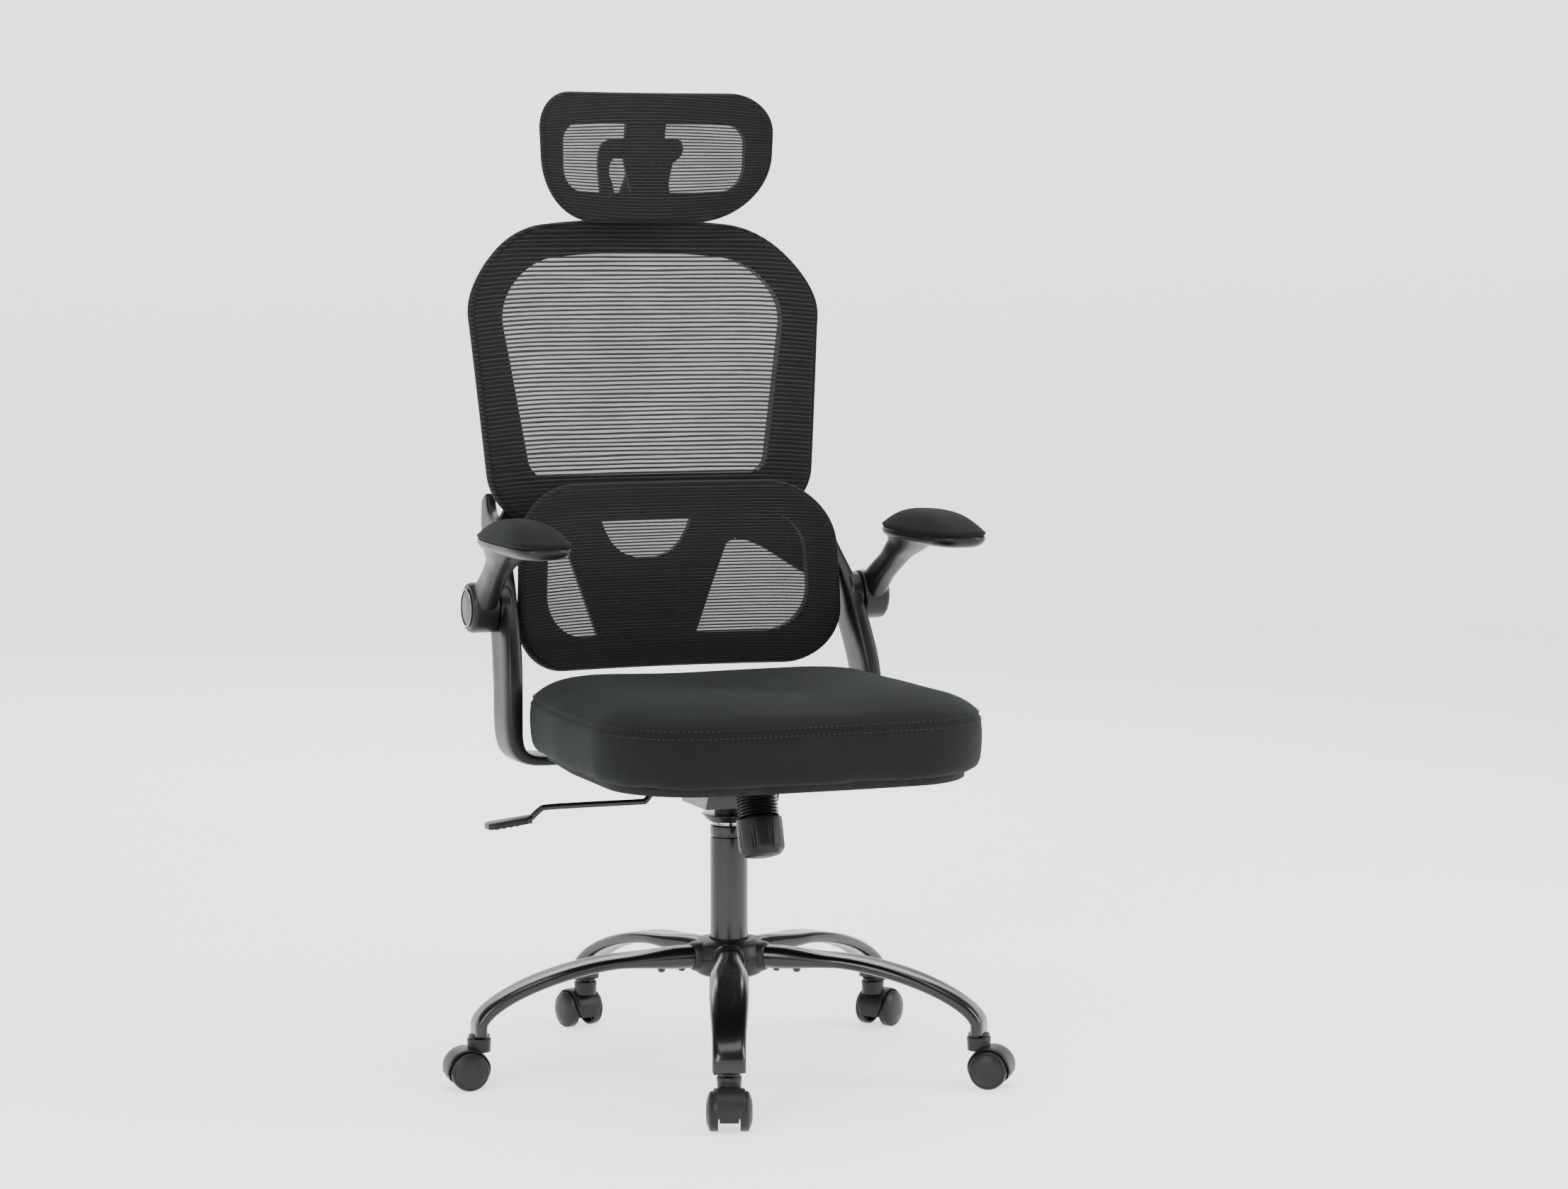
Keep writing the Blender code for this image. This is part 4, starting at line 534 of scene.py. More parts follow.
# ------------------------------------------------------------------ base
HUB_LOW, HUB_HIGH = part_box("hub_cover")
LEG_Z = 0.155
STEM_RUN = 0.343
DIRECTIONS = []
for number in range(1, 6):
    at = Vector(JOINTS[f"castor_{number}_swivel"]["pos_m"]) - COLUMN
    DIRECTIONS.append(math.atan2(at.y, at.x))
LEG_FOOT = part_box("leg_1")[0].z


def leg_rings():
    """Sections of a leg along +X: round tube at the hub, pressed into a dished blade, foot down."""
    level, drop_to = 0.150, LEG_FOOT + 0.012  # where the leg starts to fall, and to which height
    stations = [(0.034 + (level - 0.034) * i / 10, LEG_Z) for i in range(11)]
    for i in range(1, 27):
        a = i / 26 * math.pi / 2
        stations.append((level + (STEM_RUN - level) * math.sin(a) ** 1.25,
                         drop_to + (LEG_Z - drop_to) * max(math.cos(a), 0.0) ** 1.25))
    stations.append((STEM_RUN, LEG_FOOT))
    points = [Vector((r, 0, z)) for r, z in stations]
    lengths = [0.0]
    for a, b in zip(points, points[1:]):
        lengths.append(lengths[-1] + (b - a).length)
    rings = []
    for i, point in enumerate(points):
        along = heading(points, i) if i else X_AXIS
        up = -along.cross(Y_AXIS)
        share = lengths[i] / lengths[-1]
        flat = eased((share - 0.10) / 0.28)
        foot = eased((share - 0.58) / 0.36)
        width = blend(blend(0.036, 0.0505, flat), 0.0425, foot)
        height = blend(blend(0.031, 0.0185, flat), 0.0185, foot)
        power = blend(2.2, 2.8, flat)
        dish = 0.0052 * flat * (1 - 0.75 * foot)
        rings.append(placed(oval(width, height, 32, power, dish, dish * 0.5), point, Y_AXIS, up))
    return rings


LEG_RINGS = leg_rings()
for number, angle in enumerate(DIRECTIONS, 1):
    turn = ON_COLUMN @ Matrix.Rotation(angle, 4, "Z")
    bm = bmesh.new()
    skin(bm, [[turn @ p for p in ring] for ring in LEG_RINGS])
    finish(f"pressed_leg_{number}", bm, PAINT, "base", "black_paint", 60, [f"leg_{number}"])
    bm = bmesh.new()
    for run in (0.066, 0.094):
        spot = turn @ Matrix.Translation((run, 0, LEG_Z - 0.0150)) @ Matrix.Rotation(math.pi, 4, "X")
        spun(bm, [(0, 0.0042), (0.0026, 0.0039), (0.0043, 0.0028), (0.0052, 0.0010), (0.0054, -0.0015),
                  (0, -0.0018)], 20, spot)
    finish(f"leg_screws_{number}", bm, PAINT, "base", "black_paint")

bm = bmesh.new()
top, low = HUB_HIGH.z, HUB_LOW.z
seam = (top + low) / 2 + 0.001
spun(bm, softened([(0.0255, top - 0.003), (0.0262, top), (0.034, top - 0.0006), (0.045, top - 0.0065),
                   (0.0505, top - 0.019), (0.0508, seam + 0.0012), (0.0495, seam), (0.0508, seam - 0.0012),
                   (0.0500, low + 0.017), (0.0445, low + 0.0045), (0.037, low + 0.0004),
                   (0.030, low + 0.0010), (0.0285, low + 0.006), (0.0, low + 0.0065)], 0.0030), 72, ON_COLUMN)
for angle in DIRECTIONS:
    collar = ON_COLUMN @ Matrix.Rotation(angle, 4, "Z")
    rings = []
    for run, grow in ((0.040, 0.0050), (0.0490, 0.0042), (0.0520, 0.0028), (0.0530, 0.0012),
                      (0.0526, 0.0004)):
        section = oval(0.036 + 2 * grow, 0.031 + 2 * grow, 32, 2.2)
        rings.append([collar @ Vector((run, x, LEG_Z + z)) for x, z in section])
    skin(bm, rings)
finish("hub_shell", bm, NYLON, "base", "nylon", 35, ["hub_cover"])

reach = (TUBE_HIGH.x - TUBE_LOW.x) / 2
low, top = TUBE_LOW.z, TUBE_HIGH.z
turned("outer_column", [(0, low), (reach - 0.001, low), (reach, low + 0.001), (reach, top - 0.0165),
                        (reach - 0.0010, top - 0.0155), (reach - 0.0010, top - 0.0135), (reach, top - 0.0125),
                        (reach, top - 0.0016), (reach - 0.0014, top), (0.0148, top), (0.0146, top - 0.01)],
       0.0006, 96, ON_COLUMN, PAINT, "base", "black_paint", 35, ["column_tube"])

# gas cylinder with a collar and a bell-shaped washer under the mechanism
low, top = (corner.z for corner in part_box("gas_cylinder"))
turned("chrome_cylinder", [(0, low), (0.0138, low), (0.0140, low + 0.001), (0.0140, top - 0.026),
                           (0.0128, top), (0, top)],
       None, 64, ON_COLUMN, CHROME, "lift", "chrome", 35, ["gas_cylinder"])
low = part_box("mechanism_housing")[0].z
turned("socket_collar", [(0.0141, low - 0.0005), (0.0185, low - 0.0005), (0.0195, low + 0.0015),
                         (0.0195, low + 0.013), (0.0235, low + 0.0145), (0.0240, low + 0.022),
                         (0.0141, low + 0.022)],
       0.0010, 64, ON_COLUMN, NYLON, "lift", "nylon")
turned("housing_bell", [(0.0246, low - 0.0110), (0.0262, low - 0.0112), (0.0290, low - 0.0090),
                        (0.0345, low - 0.0030), (0.0365, low - 0.0004), (0.0246, low - 0.0004)],
       0.0016, 64, ON_COLUMN, GLOSSY, "lift", "nylon")


# ------------------------------------------------------------------ castors
def wheel_profile():
    inner, outer, radius = 0.01375, 0.02925, 0.0250
    return [(0.0035, inner + 0.002), (0.0070, inner + 0.002), (0.0075, inner + 0.0075),
            (0.0200, inner + 0.0085), (0.0212, inner + 0.001), (0.0222, inner), (radius - 0.0008, inner),
            (radius, inner + 0.001), (radius, outer - 0.0062), (radius - 0.0010, outer - 0.0048),
            (radius - 0.0030, outer - 0.0036), (radius - 0.0036, outer - 0.0040),
            (radius - 0.0044, outer - 0.0034), (0.0150, outer - 0.0009), (0.0085, outer - 0.0001), (0, outer)]


for number, angle in enumerate(DIRECTIONS, 1):
    stem_at = Matrix.Translation(Vector(JOINTS[f"castor_{number}_swivel"]["pos_m"]) * Vector((1, 1, 0)))
    turn = stem_at @ Matrix.Rotation(angle, 4, "Z")
    centre = turn.inverted() @ Vector(JOINTS[f"wheel_{number}_left_roll"]["pos_m"])
    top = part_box(f"castor_hood_{number}")[1].z
    bm = bmesh.new()
    rings = []
    for i in range(33):
        a = blend(math.radians(-8), math.radians(194), i / 32)
        ray = Vector((math.cos(a), 0, math.sin(a)))
        tip = 1.0 - 0.25 * (1 - eased(min(i, 32 - i) / 5))
        half = 0.0198 * tip
        section = ((-half, 0.0266), (-half * 1.01, 0.0275), (-half * 0.93, 0.0286), (-half * 0.7, 0.0289),
                   (0, 0.0290), (half * 0.7, 0.0289), (half * 0.93, 0.0286), (half * 1.01, 0.0275),
                   (half, 0.0266), (half * 0.9, 0.0264), (0, 0.0264), (-half * 0.9, 0.0264))
        rings.append([turn @ (centre + ray * r + Y_AXIS * y) for y, r in section])
    skin(bm, rings)
    # web between the wheels, cut off below the axle
    web = []
    for i in range(41):
        a = blend(math.radians(-22), math.radians(202), i / 40)
        web.append(Vector((math.cos(a) * 0.0270, 0, math.sin(a) * 0.0270)))
    skin(bm, [[turn @ (centre + p * grow + Y_AXIS * y) for p in web]
              for y, grow in ((-0.0118, 0.96), (-0.0122, 1.0), (0.0122, 1.0), (0.0118, 0.96))])
    # stem boss with a raised ring on top
    base_z = centre.z + 0.0225
    boss = [(0.0, base_z), (0.0150, base_z), (0.0154, top - 0.007), (0.0158, top - 0.0052),
            (0.0158, top - 0.0012), (0.0150, top), (0.0088, top), (0.0080, top - 0.0012), (0, top - 0.0016)]
    spun(bm, softened(boss, 0.0006), 48, turn)
    finish(f"castor_shell_{number}", bm, NYLON, f"castor_{number}", "nylon", 38, [f"castor_hood_{number}"])
    # the stem's flange under the leg, with its stop
    bm = bmesh.new()
    flange = LEG_FOOT - 0.0002
    spun(bm, softened([(0, flange + 0.004), (0.0082, flange + 0.004), (0.0084, flange), (0.0142, flange),
                       (0.0142, flange - 0.0021), (0.0060, flange - 0.0022), (0.0056, top - 0.012),
                       (0, top - 0.012)], 0.0004), 40, turn)
    block(bm, (-0.0040, -0.0195, flange - 0.0023), (0.0040, -0.0105, flange - 0.0001), 0.0005, turn)
    finish(f"castor_pin_{number}", bm, NYLON, "base", "nylon", 35, [f"castor_stem_{number}"])
    for side, label in ((1, "left"), (-1, "right")):
        place = turn @ Matrix.Translation(centre) @ Matrix.Rotation(math.radians(-90 * side), 4, "X")
        bm = bmesh.new()
        spun(bm, wheel_profile(), 56, place)
        for k in range(6):
            spoke = place @ Matrix.Rotation(k * math.pi / 3, 4, "Z")
            block(bm, (0.0066, -0.0007, 0.0152), (0.0208, 0.0007, 0.0232), 0.0003, spoke)
        finish(f"castor_wheel_{number}_{label}", bm, NYLON, f"wheel_{number}_{label}", "nylon", 32,
               [f"wheel_{number}_{label}"])

# ------------------------------------------------------------------ knob, boot, lever
knob_joint = JOINTS["knob_turn"]
KNOB_AXIS = Vector(knob_joint["axis"]).normalized()
LEAN = math.atan2(KNOB_AXIS.y, KNOB_AXIS.z)
knob_at = Matrix.Translation(Vector(knob_joint["pos_m"])) @ Matrix.Rotation(-LEAN, 4, "X")
bm = bmesh.new()
profile = softened([(0, -0.0515), (0.0140, -0.0508), (0.0235, -0.0485), (0.0292, -0.0420), (0.0300, -0.0385),
                    (0.0300, -0.0012), (0.0290, 0.0), (0.0225, 0.0), (0.0220, -0.0020), (0, -0.0020)], 0.0012)
rings = []
for radius, z in profile:
    ring = []
    for a in around(240):
        phase = (a / (2 * math.pi) * 8) % 1.0
        groove = max(0.0, 1 - abs(phase - 0.08) / 0.035, 1 - abs(phase - 0.24) / 0.035)
        fade = eased((-0.0010 - z) / 0.004) * eased((z + 0.0475) / 0.007) if radius > 0.026 else 0.0
        r = max(radius - 0.0015 * eased(groove) * fade, POLE)
        ring.append(knob_at @ Vector((r * math.cos(a), r * math.sin(a), z)))
    rings.append(ring)
dense = []
for a, b in zip(rings, rings[1:]):
    pieces = max(1, int((b[0] - a[0]).length / 0.004))
    dense += [[p.lerp(q, k / pieces) for p, q in zip(a, b)] for k in range(pieces)]
dense.append(rings[-1])
skin(bm, dense)
finish("grooved_knob", bm, SATIN, "knob", "plastic", 50, ["tension_knob"])

SPRING_LENGTH = 0.0395
BOOT_RIBS = 9
pitch = (SPRING_LENGTH - 0.0008) / BOOT_RIBS
profile = [(0.0205, 0.0004)]
for i in range(BOOT_RIBS):
    z = 0.0004 + (SPRING_LENGTH - 0.0008) * i / BOOT_RIBS
    profile += [(0.0238, z), (0.0238, z + pitch * 0.16), (0.0268, z + pitch * 0.34),
                (0.0275, z + pitch * 0.50), (0.0268, z + pitch * 0.66), (0.0238, z + pitch * 0.84)]
profile += [(0.0238, SPRING_LENGTH - 0.0004), (0.0205, SPRING_LENGTH - 0.0004)]
boot = turned("ribbed_boot", profile, None, 64, knob_at, RUBBERY, "lift", "nylon", 60, ["tilt_spring"])
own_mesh(boot)

rod_low, rod_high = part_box("lever_rod")
lever_y = (rod_low.y + rod_high.y) / 2
lever_z = rod_high.z - 0.004
knots = [(rod_high.x, lever_y, lever_z)]
for run, drop in ((0.100, 0.0), (0.1075, 0.0015), (0.1160, 0.0110), (0.124, 0.0125), (0.200, 0.0125),
                  (0.252, 0.0130), (0.262, 0.0160), (0.274, 0.0262)):
    knots.append((COLUMN.x - run, lever_y, lever_z - drop))
bm = bmesh.new()
tube(bm, smooth_path(knots, 8), 0.0040, 16)
finish("bent_lever", bm, PAINT, "lever", "black_paint", 50, ["lever_rod"])

pad_low, pad_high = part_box("lever_paddle")
bm = bmesh.new()
rings = []
length = pad_high.x - pad_low.x
for i in range(29):
    t = i / 28
    x = pad_high.x + 0.004 - t * (length + 0.002)
    sink = 0.002 - 0.0065 * t
    nose = math.sin(min(1.0, (1 - t) * 7 + 0.25) * math.pi / 2)
    neck = eased(t / 0.18)
    width = blend(0.013, 0.0265, neck) * (0.55 + 0.45 * nose)
    ridge = 0.0011 * max(0.0, math.sin(t * 2 * math.pi * 6.5)) if 0.34 < t < 0.92 else 0.0
    thick = blend(0.011, 0.0095, neck) * (0.60 + 0.40 * nose)
    section = oval(width, thick, 28, 5.0)
    mid_z = (pad_low.z + pad_high.z) / 2 + sink + 0.0010
    rings.append([Vector((x, lever_y + y, mid_z + z - (ridge if z < 0 else 0.0))) for y, z in section])
skin(bm, rings)
finish("lever_grip", bm, SATIN, "lever", "plastic", 35, ["lever_paddle"])

# ------------------------------------------------------------------ seat
SEAT_LOW, SEAT_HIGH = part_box("seat_cushion")
SEAT_X = (SEAT_LOW.x + SEAT_HIGH.x) / 2
SEAM_Z = 0.496


def seat_outline(inset, arc_points=26):
    half = (SEAT_HIGH.x - SEAT_LOW.x) / 2 - inset
    narrow = half - 0.019
    front, back = SEAT_LOW.y + inset, SEAT_HIGH.y - inset
    waist = COLUMN.y - 0.06
    corners = [(SEAT_X + half, front, 0.120 - inset * 0.5), (SEAT_X + half, waist, 0.30),
               (SEAT_X + narrow, back, 0.080 - inset * 0.5), (SEAT_X - narrow, back, 0.080 - inset * 0.5),
               (SEAT_X - half, waist, 0.30), (SEAT_X - half, front, 0.120 - inset * 0.5)]
    bowed = rounded_outline(corners, arc_points)
    result = []
    for p in spread(bowed, 0.012):
        bow = 0.016 * ((p.x - SEAT_X) / half) ** 2 * eased((waist - p.y) / 0.16)
        result.append(Vector((p.x, p.y + bow)))
    return result


RIM = seat_outline(0.0)
SEAT_MID = Vector((SEAT_X, (SEAT_LOW.y + SEAT_HIGH.y) / 2))


def drawn_in(amount):
    """The seat's outline moved inwards."""
    return [p + inward_at(RIM, i, SEAT_MID) * amount for i, p in enumerate(RIM)]


def wander(x, y, z, scale, amount):
    return amount * noise.noise(Vector((x, y, z)) * scale)


# side of the cushion up to the seam, then its crown in to the middle
SEAM_LIP = 0.0055
bm = bmesh.new()
rings = []
low = SEAT_LOW.z
side = from_level(low, ((0.0005, 0.030), (0.0, 0.018), (0.0015, 0.009), (0.006, 0.0045), (0.013, 0.0016),
                        (0.024, 0.0), (0.036, -0.0008), (0.048, -0.0010), (0.058, -0.0004)))
side += from_level(SEAM_Z, ((-0.0065, 0.0004), (-0.0030, 0.0012), (-0.0010, 0.0026), (0.0, 0.0034),
                            (0.0010, 0.0032), (0.0028, 0.0030), (SEAM_LIP, 0.0050)))
for z, amount in side:
    ring = []
    for p in drawn_in(amount):
        hem = wander(p.x, p.y, 0.3, 26.0, 0.0022) if z < low + 0.012 else 0.0
        pucker = wander(p.x, p.y, z * 0.4, 150.0, 0.0008) * math.exp(-((z - SEAM_Z) / 0.012) ** 2)
        bulge = wander(p.x, p.y, z, 9.0, 0.0012)
        q = p + (p - SEAT_MID).normalized() * (pucker + bulge)
        ring.append(Vector((q.x, q.y, z + hem)))
    rings.append(ring)
edge = drawn_in(0.0050)
steps = 34
for k in range(1, steps + 1):
    s = 1 - (k / steps) ** 1.15
    ring = []
    for p in edge:
        q = SEAT_MID.lerp(p, s)
        inside = (1 - s) * (p - SEAT_MID).length
        rise = (SEAT_HIGH.z + 0.006 - SEAM_Z - SEAM_LIP) * (1 - math.exp(-inside / 0.030))
        ahead = (q.y - SEAT_LOW.y) / (SEAT_HIGH.y - SEAT_LOW.y)
        fall = 0.0050 * (1 - eased(ahead / 0.30)) * eased(inside / 0.05)
        dip = 0.0055 * math.exp(-(((q.x - SEAT_X) / 0.12) ** 2 + ((ahead - 0.55) / 0.26) ** 2))
        soft = wander(q.x, q.y, 0.0, 7.0, 0.0016) * eased(inside / 0.04)
        ring.append(Vector((q.x, q.y, SEAM_Z + SEAM_LIP + rise - fall - dip + soft)))
    rings.append(ring)
skin(bm, rings)
cushion = finish("knit_seat_cushion", bm, FABRIC, "seat", "knit_fabric", 180, ["seat_cushion"])

STITCH = 0.0052
THREAD_RADIUS = 0.0004
bm = bmesh.new()
for height, amount in ((SEAM_Z - 0.0048, 0.0002), (SEAM_Z + 0.0046, 0.0032)):
    path = spread(drawn_in(amount), 0.0026)
    total = 0.0
    for a, b in zip(path, path[1:] + path[:1]):
        total += (b - a).length
        if total < STITCH:
            continue
        total = 0.0
        middle = (a + b) / 2
        along = (b - a).normalized()
        out = Vector((along.y, -along.x))
        if out.dot(middle - SEAT_MID) < 0:
            out = -out
        centre = Vector((middle.x + out.x * 0.0006, middle.y + out.y * 0.0006, height))
        along, out = along.to_3d(), out.to_3d()
        rows = []
        for t, lift in ((-1, -0.0006), (-0.5, 0.0001), (0.5, 0.0001), (1, -0.0006)):
            e = centre + along * t * 0.0016 + out * lift
            rows.append([e + out * THREAD_RADIUS * math.cos(w) + Vector((0, 0, THREAD_RADIUS)) * math.sin(w)
                         for w in (0, 1.571, 3.142, 4.712)])
        skin(bm, rows)
finish("seat_stitches", bm, THREAD, "seat", "knit_fabric")


# ------------------------------------------------------------------ armrests
PIVOT = {label: Vector(JOINTS[f"armrest_{label}_flip"]["pos_m"]) for label in ("left", "right")}
PAD_HALF_LENGTH, PAD_HALF_WIDTH = 0.123, 0.042


def arm_outline(inset, pad_x, pad_y):
    points = []
    for a in around(72):
        c, s = math.cos(a), math.sin(a)
        x = (PAD_HALF_WIDTH - inset) * math.copysign(abs(c) ** 0.62, c)
        y = (PAD_HALF_LENGTH - inset) * math.copysign(abs(s) ** 0.70, s)
        points.append(Vector((pad_x + x * (1 - 0.10 * s), pad_y + y)))
    return points


for side, label in ((1, "left"), (-1, "right")):
    body = f"armrest_{label}"
    pad_low, pad_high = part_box(f"arm_pad_{label}")
    mid = (pad_low + pad_high) / 2
    flip = TO_CENTRE @ Matrix.Scale(side, 4, X_AXIS) @ TO_CENTRE.inverted()
    pad_x = COLUMN.x + abs(mid.x - COLUMN.x)
    pad_y = mid.y
    floor_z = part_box(f"arm_{label}")[1].z

    def layer(z, inset):
        return [flip @ Vector((p.x, p.y, z)) for p in arm_outline(inset, pad_x, pad_y)]

    base_z = floor_z - 0.014
    bm = bmesh.new()
    skin(bm, [layer(z, inset) for z, inset in from_level(base_z, (
        (0.0005, 0.020), (0.0, 0.0125), (0.0015, 0.0075), (0.0045, 0.0032), (0.0080, 0.0008), (0.0105, 0.0),
        (0.0130, 0.0003), (0.0142, 0.0012), (0.0144, 0.0030)))])
    pivot = PIVOT[label]
    inner_x = COLUMN.x + abs(pivot.x - COLUMN.x) + 0.0006
    outer_x = inner_x + 0.0375
    stem_x = (inner_x + outer_x) / 2
    y0, z0 = pivot.y, pivot.z
    # each knot: place, then width, depth and lean of the section
    knots = [(stem_x, y0 - 0.002, z0 + 0.002, 0.034, 0.050, 52),
             (stem_x - 0.001, y0 - 0.022, z0 + 0.018, 0.031, 0.046, 54),
             (stem_x - 0.001, y0 - 0.048, z0 + 0.036, 0.030, 0.040, 56),
             (stem_x + 0.001, y0 - 0.078, z0 + 0.054, 0.031, 0.038, 60),
             (pad_x - 0.003, y0 - 0.102, z0 + 0.068, 0.036, 0.046, 70),
             (pad_x, y0 - 0.126, z0 + 0.080, 0.045, 0.072, 82),
             (pad_x, y0 - 0.146, base_z + 0.003, 0.056, 0.104, 90)]
    rows = smooth_path([k[:3] for k in knots], 7)
    sizes = smooth_path([k[3:] for k in knots], 7)
    rings = []
    for place, (width, depth, lean) in zip(rows, sizes):
        lean = math.radians(lean)
        up = Vector((0, math.sin(lean), math.cos(lean)))
        rings.append([flip @ p for p in placed(oval(width, depth, 36, 2.9), place, X_AXIS, up)])
    skin(bm, rings)
    axle = flip @ (Matrix.Translation((0, y0, z0)) @ CROSSWISE)
    drum = [(0, inner_x), (0.0310, inner_x), (0.0335, inner_x + 0.0015), (0.0340, inner_x + 0.004),
            (0.0340, outer_x - 0.006), (0.0325, outer_x - 0.0025), (0.0300, outer_x - 0.0008),
            (0, outer_x - 0.0008)]
    spun(bm, softened(drum, 0.0012), 72, axle)
    finish(f"moulded_arm_{label}", bm, SATIN, body, "plastic", 45, [f"arm_{label}"])
    cap = [(0.0262, outer_x - 0.0010), (0.0262, outer_x + 0.0004), (0.0250, outer_x + 0.0012),
           (0.0235, outer_x + 0.0012), (0.0232, outer_x + 0.0004), (0.0180, outer_x + 0.0009),
           (0.0, outer_x + 0.0012)]
    turned(f"pivot_cap_{label}", cap, None, 72, axle, GLOSSY, body, "plastic", 30)
    bm = bmesh.new()
    tube(bm, [axle @ Vector((0.0243 * math.cos(a), 0.0243 * math.sin(a), outer_x + 0.0012))
              for a in around(72) + [2 * math.pi]], 0.0005, 6)
    finish(f"cap_rim_{label}", bm, EDGE, body, "plastic", 30)

    bm = bmesh.new()
    hem = floor_z + 0.0050
    rings = [layer(z, inset) for z, inset in from_level(floor_z, ((0.0006, 0.0080), (0.0004, 0.0028),
                                                                  (0.0016, 0.0008), (0.0050, -0.0006)))]
    for k in range(1, 23):
        t = k / 22
        ring = []
        for p in arm_outline(0.0, pad_x, pad_y):
            q = Vector((pad_x, pad_y)).lerp(p, 1 - t)
            ends = abs(q.y - pad_y) / PAD_HALF_LENGTH
            crown = (1 - (1 - t) ** 3.4) * (1 - 0.36 * ends ** 2.2)
            soft = wander(q.x, q.y, 0.5, 40.0, 0.0003)
            ring.append(flip @ Vector((q.x, q.y, hem + (pad_high.z - hem) * crown + soft)))
        rings.append(ring)
    skin(bm, rings)
    pad = finish(f"soft_arm_pad_{label}", bm, PAD, body, "knit_fabric", 180, [f"arm_pad_{label}"])


# ------------------------------------------------------------------ back, lumbar support, headrest
def back_depth(x, z):
    share = (z - 0.712) / 0.414
    return COLUMN.y + blend(0.330, 0.383, share ** 1.2 if share > 0 else 0.0) - 0.55 * x * x


def lumbar_depth(x, z):
    share = (z - 0.6435) / 0.253
    return COLUMN.y + 0.216 + 0.060 * share * share + 0.012 * share - 0.60 * x * x


def headrest_depth(x, z):
    share = (z - 1.2155) / 0.175
    return COLUMN.y + 0.315 + 0.045 * share * share - 0.006 * share - 1.35 * x * x


CLOTH_FRONT = 0.0042  # how far the mesh stands in front of its rim's face


def cloth(part, body, outline, window, depth_at, low, high, roll, materials, pitch, columns, sag):
    """The mesh over a rim: one stretched sheet with real ribs, rolled back round the rim's edge."""
    half_at = half_width_of(outline)
    rows = int((high - low) / pitch * 6)
    bm = bmesh.new()
    layer = bm.loops.layers.uv.verify()
    grid = []
    for i in range(rows + 1):
        z = blend(low, high, i / rows)
        half = half_at(z)
        row = []
        for j in range(columns + 1):
            t = 2 * j / columns - 1
            x = half * math.copysign(1 - (1 - abs(t)) ** 1.35, t)
            d = edge_distance(outline, x, z)
            back = roll - math.sqrt(max(roll ** 2 - max(roll - d, 0.0) ** 2, 0.0)) if d < roll else 0.0
            v = z - sag(x, z)
            rib = 0.0007 * math.cos(2 * math.pi * v / pitch)
            y = depth_at(x, z) - CLOTH_FRONT + back - rib
            row.append((bm.verts.new((COLUMN.x + x, y, z)), x, v + pitch / 2))
        grid.append(row)
    for i in range(rows):
        for j in range(columns):
            corners = (grid[i][j], grid[i][j + 1], grid[i + 1][j + 1], grid[i + 1][j])
            if len({c[0] for c in corners}) < 4:
                continue
            face = bm.faces.new([c[0] for c in corners])
            x, z = corners[0][0].co.x - COLUMN.x, corners[0][0].co.z
            if not within(window, x, z) and edge_distance(window, x, z) > 0.009:
                face.material_index = 1
            for loop, (_, u, v) in zip(face.loops, corners):
                loop[layer].uv = (u, v)
    area = sum(f.calc_area() for f in bm.faces)
    width, length = 2 * half_at((low + high) / 2), high - low
    obj = finish(f"{part}_cloth", bm, materials[0], body, "mesh_fabric", 180, [f"{part}_mesh"])
    obj.data.materials.append(materials[1])


def edge_roll(part, body, outline, depth_at, roll, thickness, material):
    """The cloth's turned edge: round the rim's outer side and a little way in behind it."""
    centre = sum(outline, Vector((0, 0))) / len(outline)
    section = ((roll * 0.40, roll * 0.10), (roll * 0.12, roll * 0.45), (0.0, roll),
               (-0.0004, roll + thickness * 0.30), (0.0010, roll + thickness * 0.62),
               (0.0050, roll + thickness * 0.86), (0.0120, roll + thickness * 0.96),
               (0.0220, roll + thickness * 0.90), (0.0220, roll + thickness * 0.80),
               (0.0080, roll + thickness * 0.6), (0.0050, roll * 1.1), (0.0060, roll * 0.6))
    rings = []
    for i, p in enumerate(outline):
        inward = inward_at(outline, i, centre)
        ring = []
        for inset, back in section:
            q = p + inward * inset
            ring.append(Vector((COLUMN.x + q.x, depth_at(q.x, q.y) - CLOTH_FRONT + back, q.y)))
        rings.append(ring)
    bm = bmesh.new()
    skin(bm, rings, closed=True)
    uv = bm.loops.layers.uv.verify()
    for face in bm.faces:
        for loop in face.loops:
            loop[uv].uv = (loop.vert.co.x, loop.vert.co.z)
    finish(f"{part}_cloth_edge", bm, material, body, "mesh_fabric", 180)


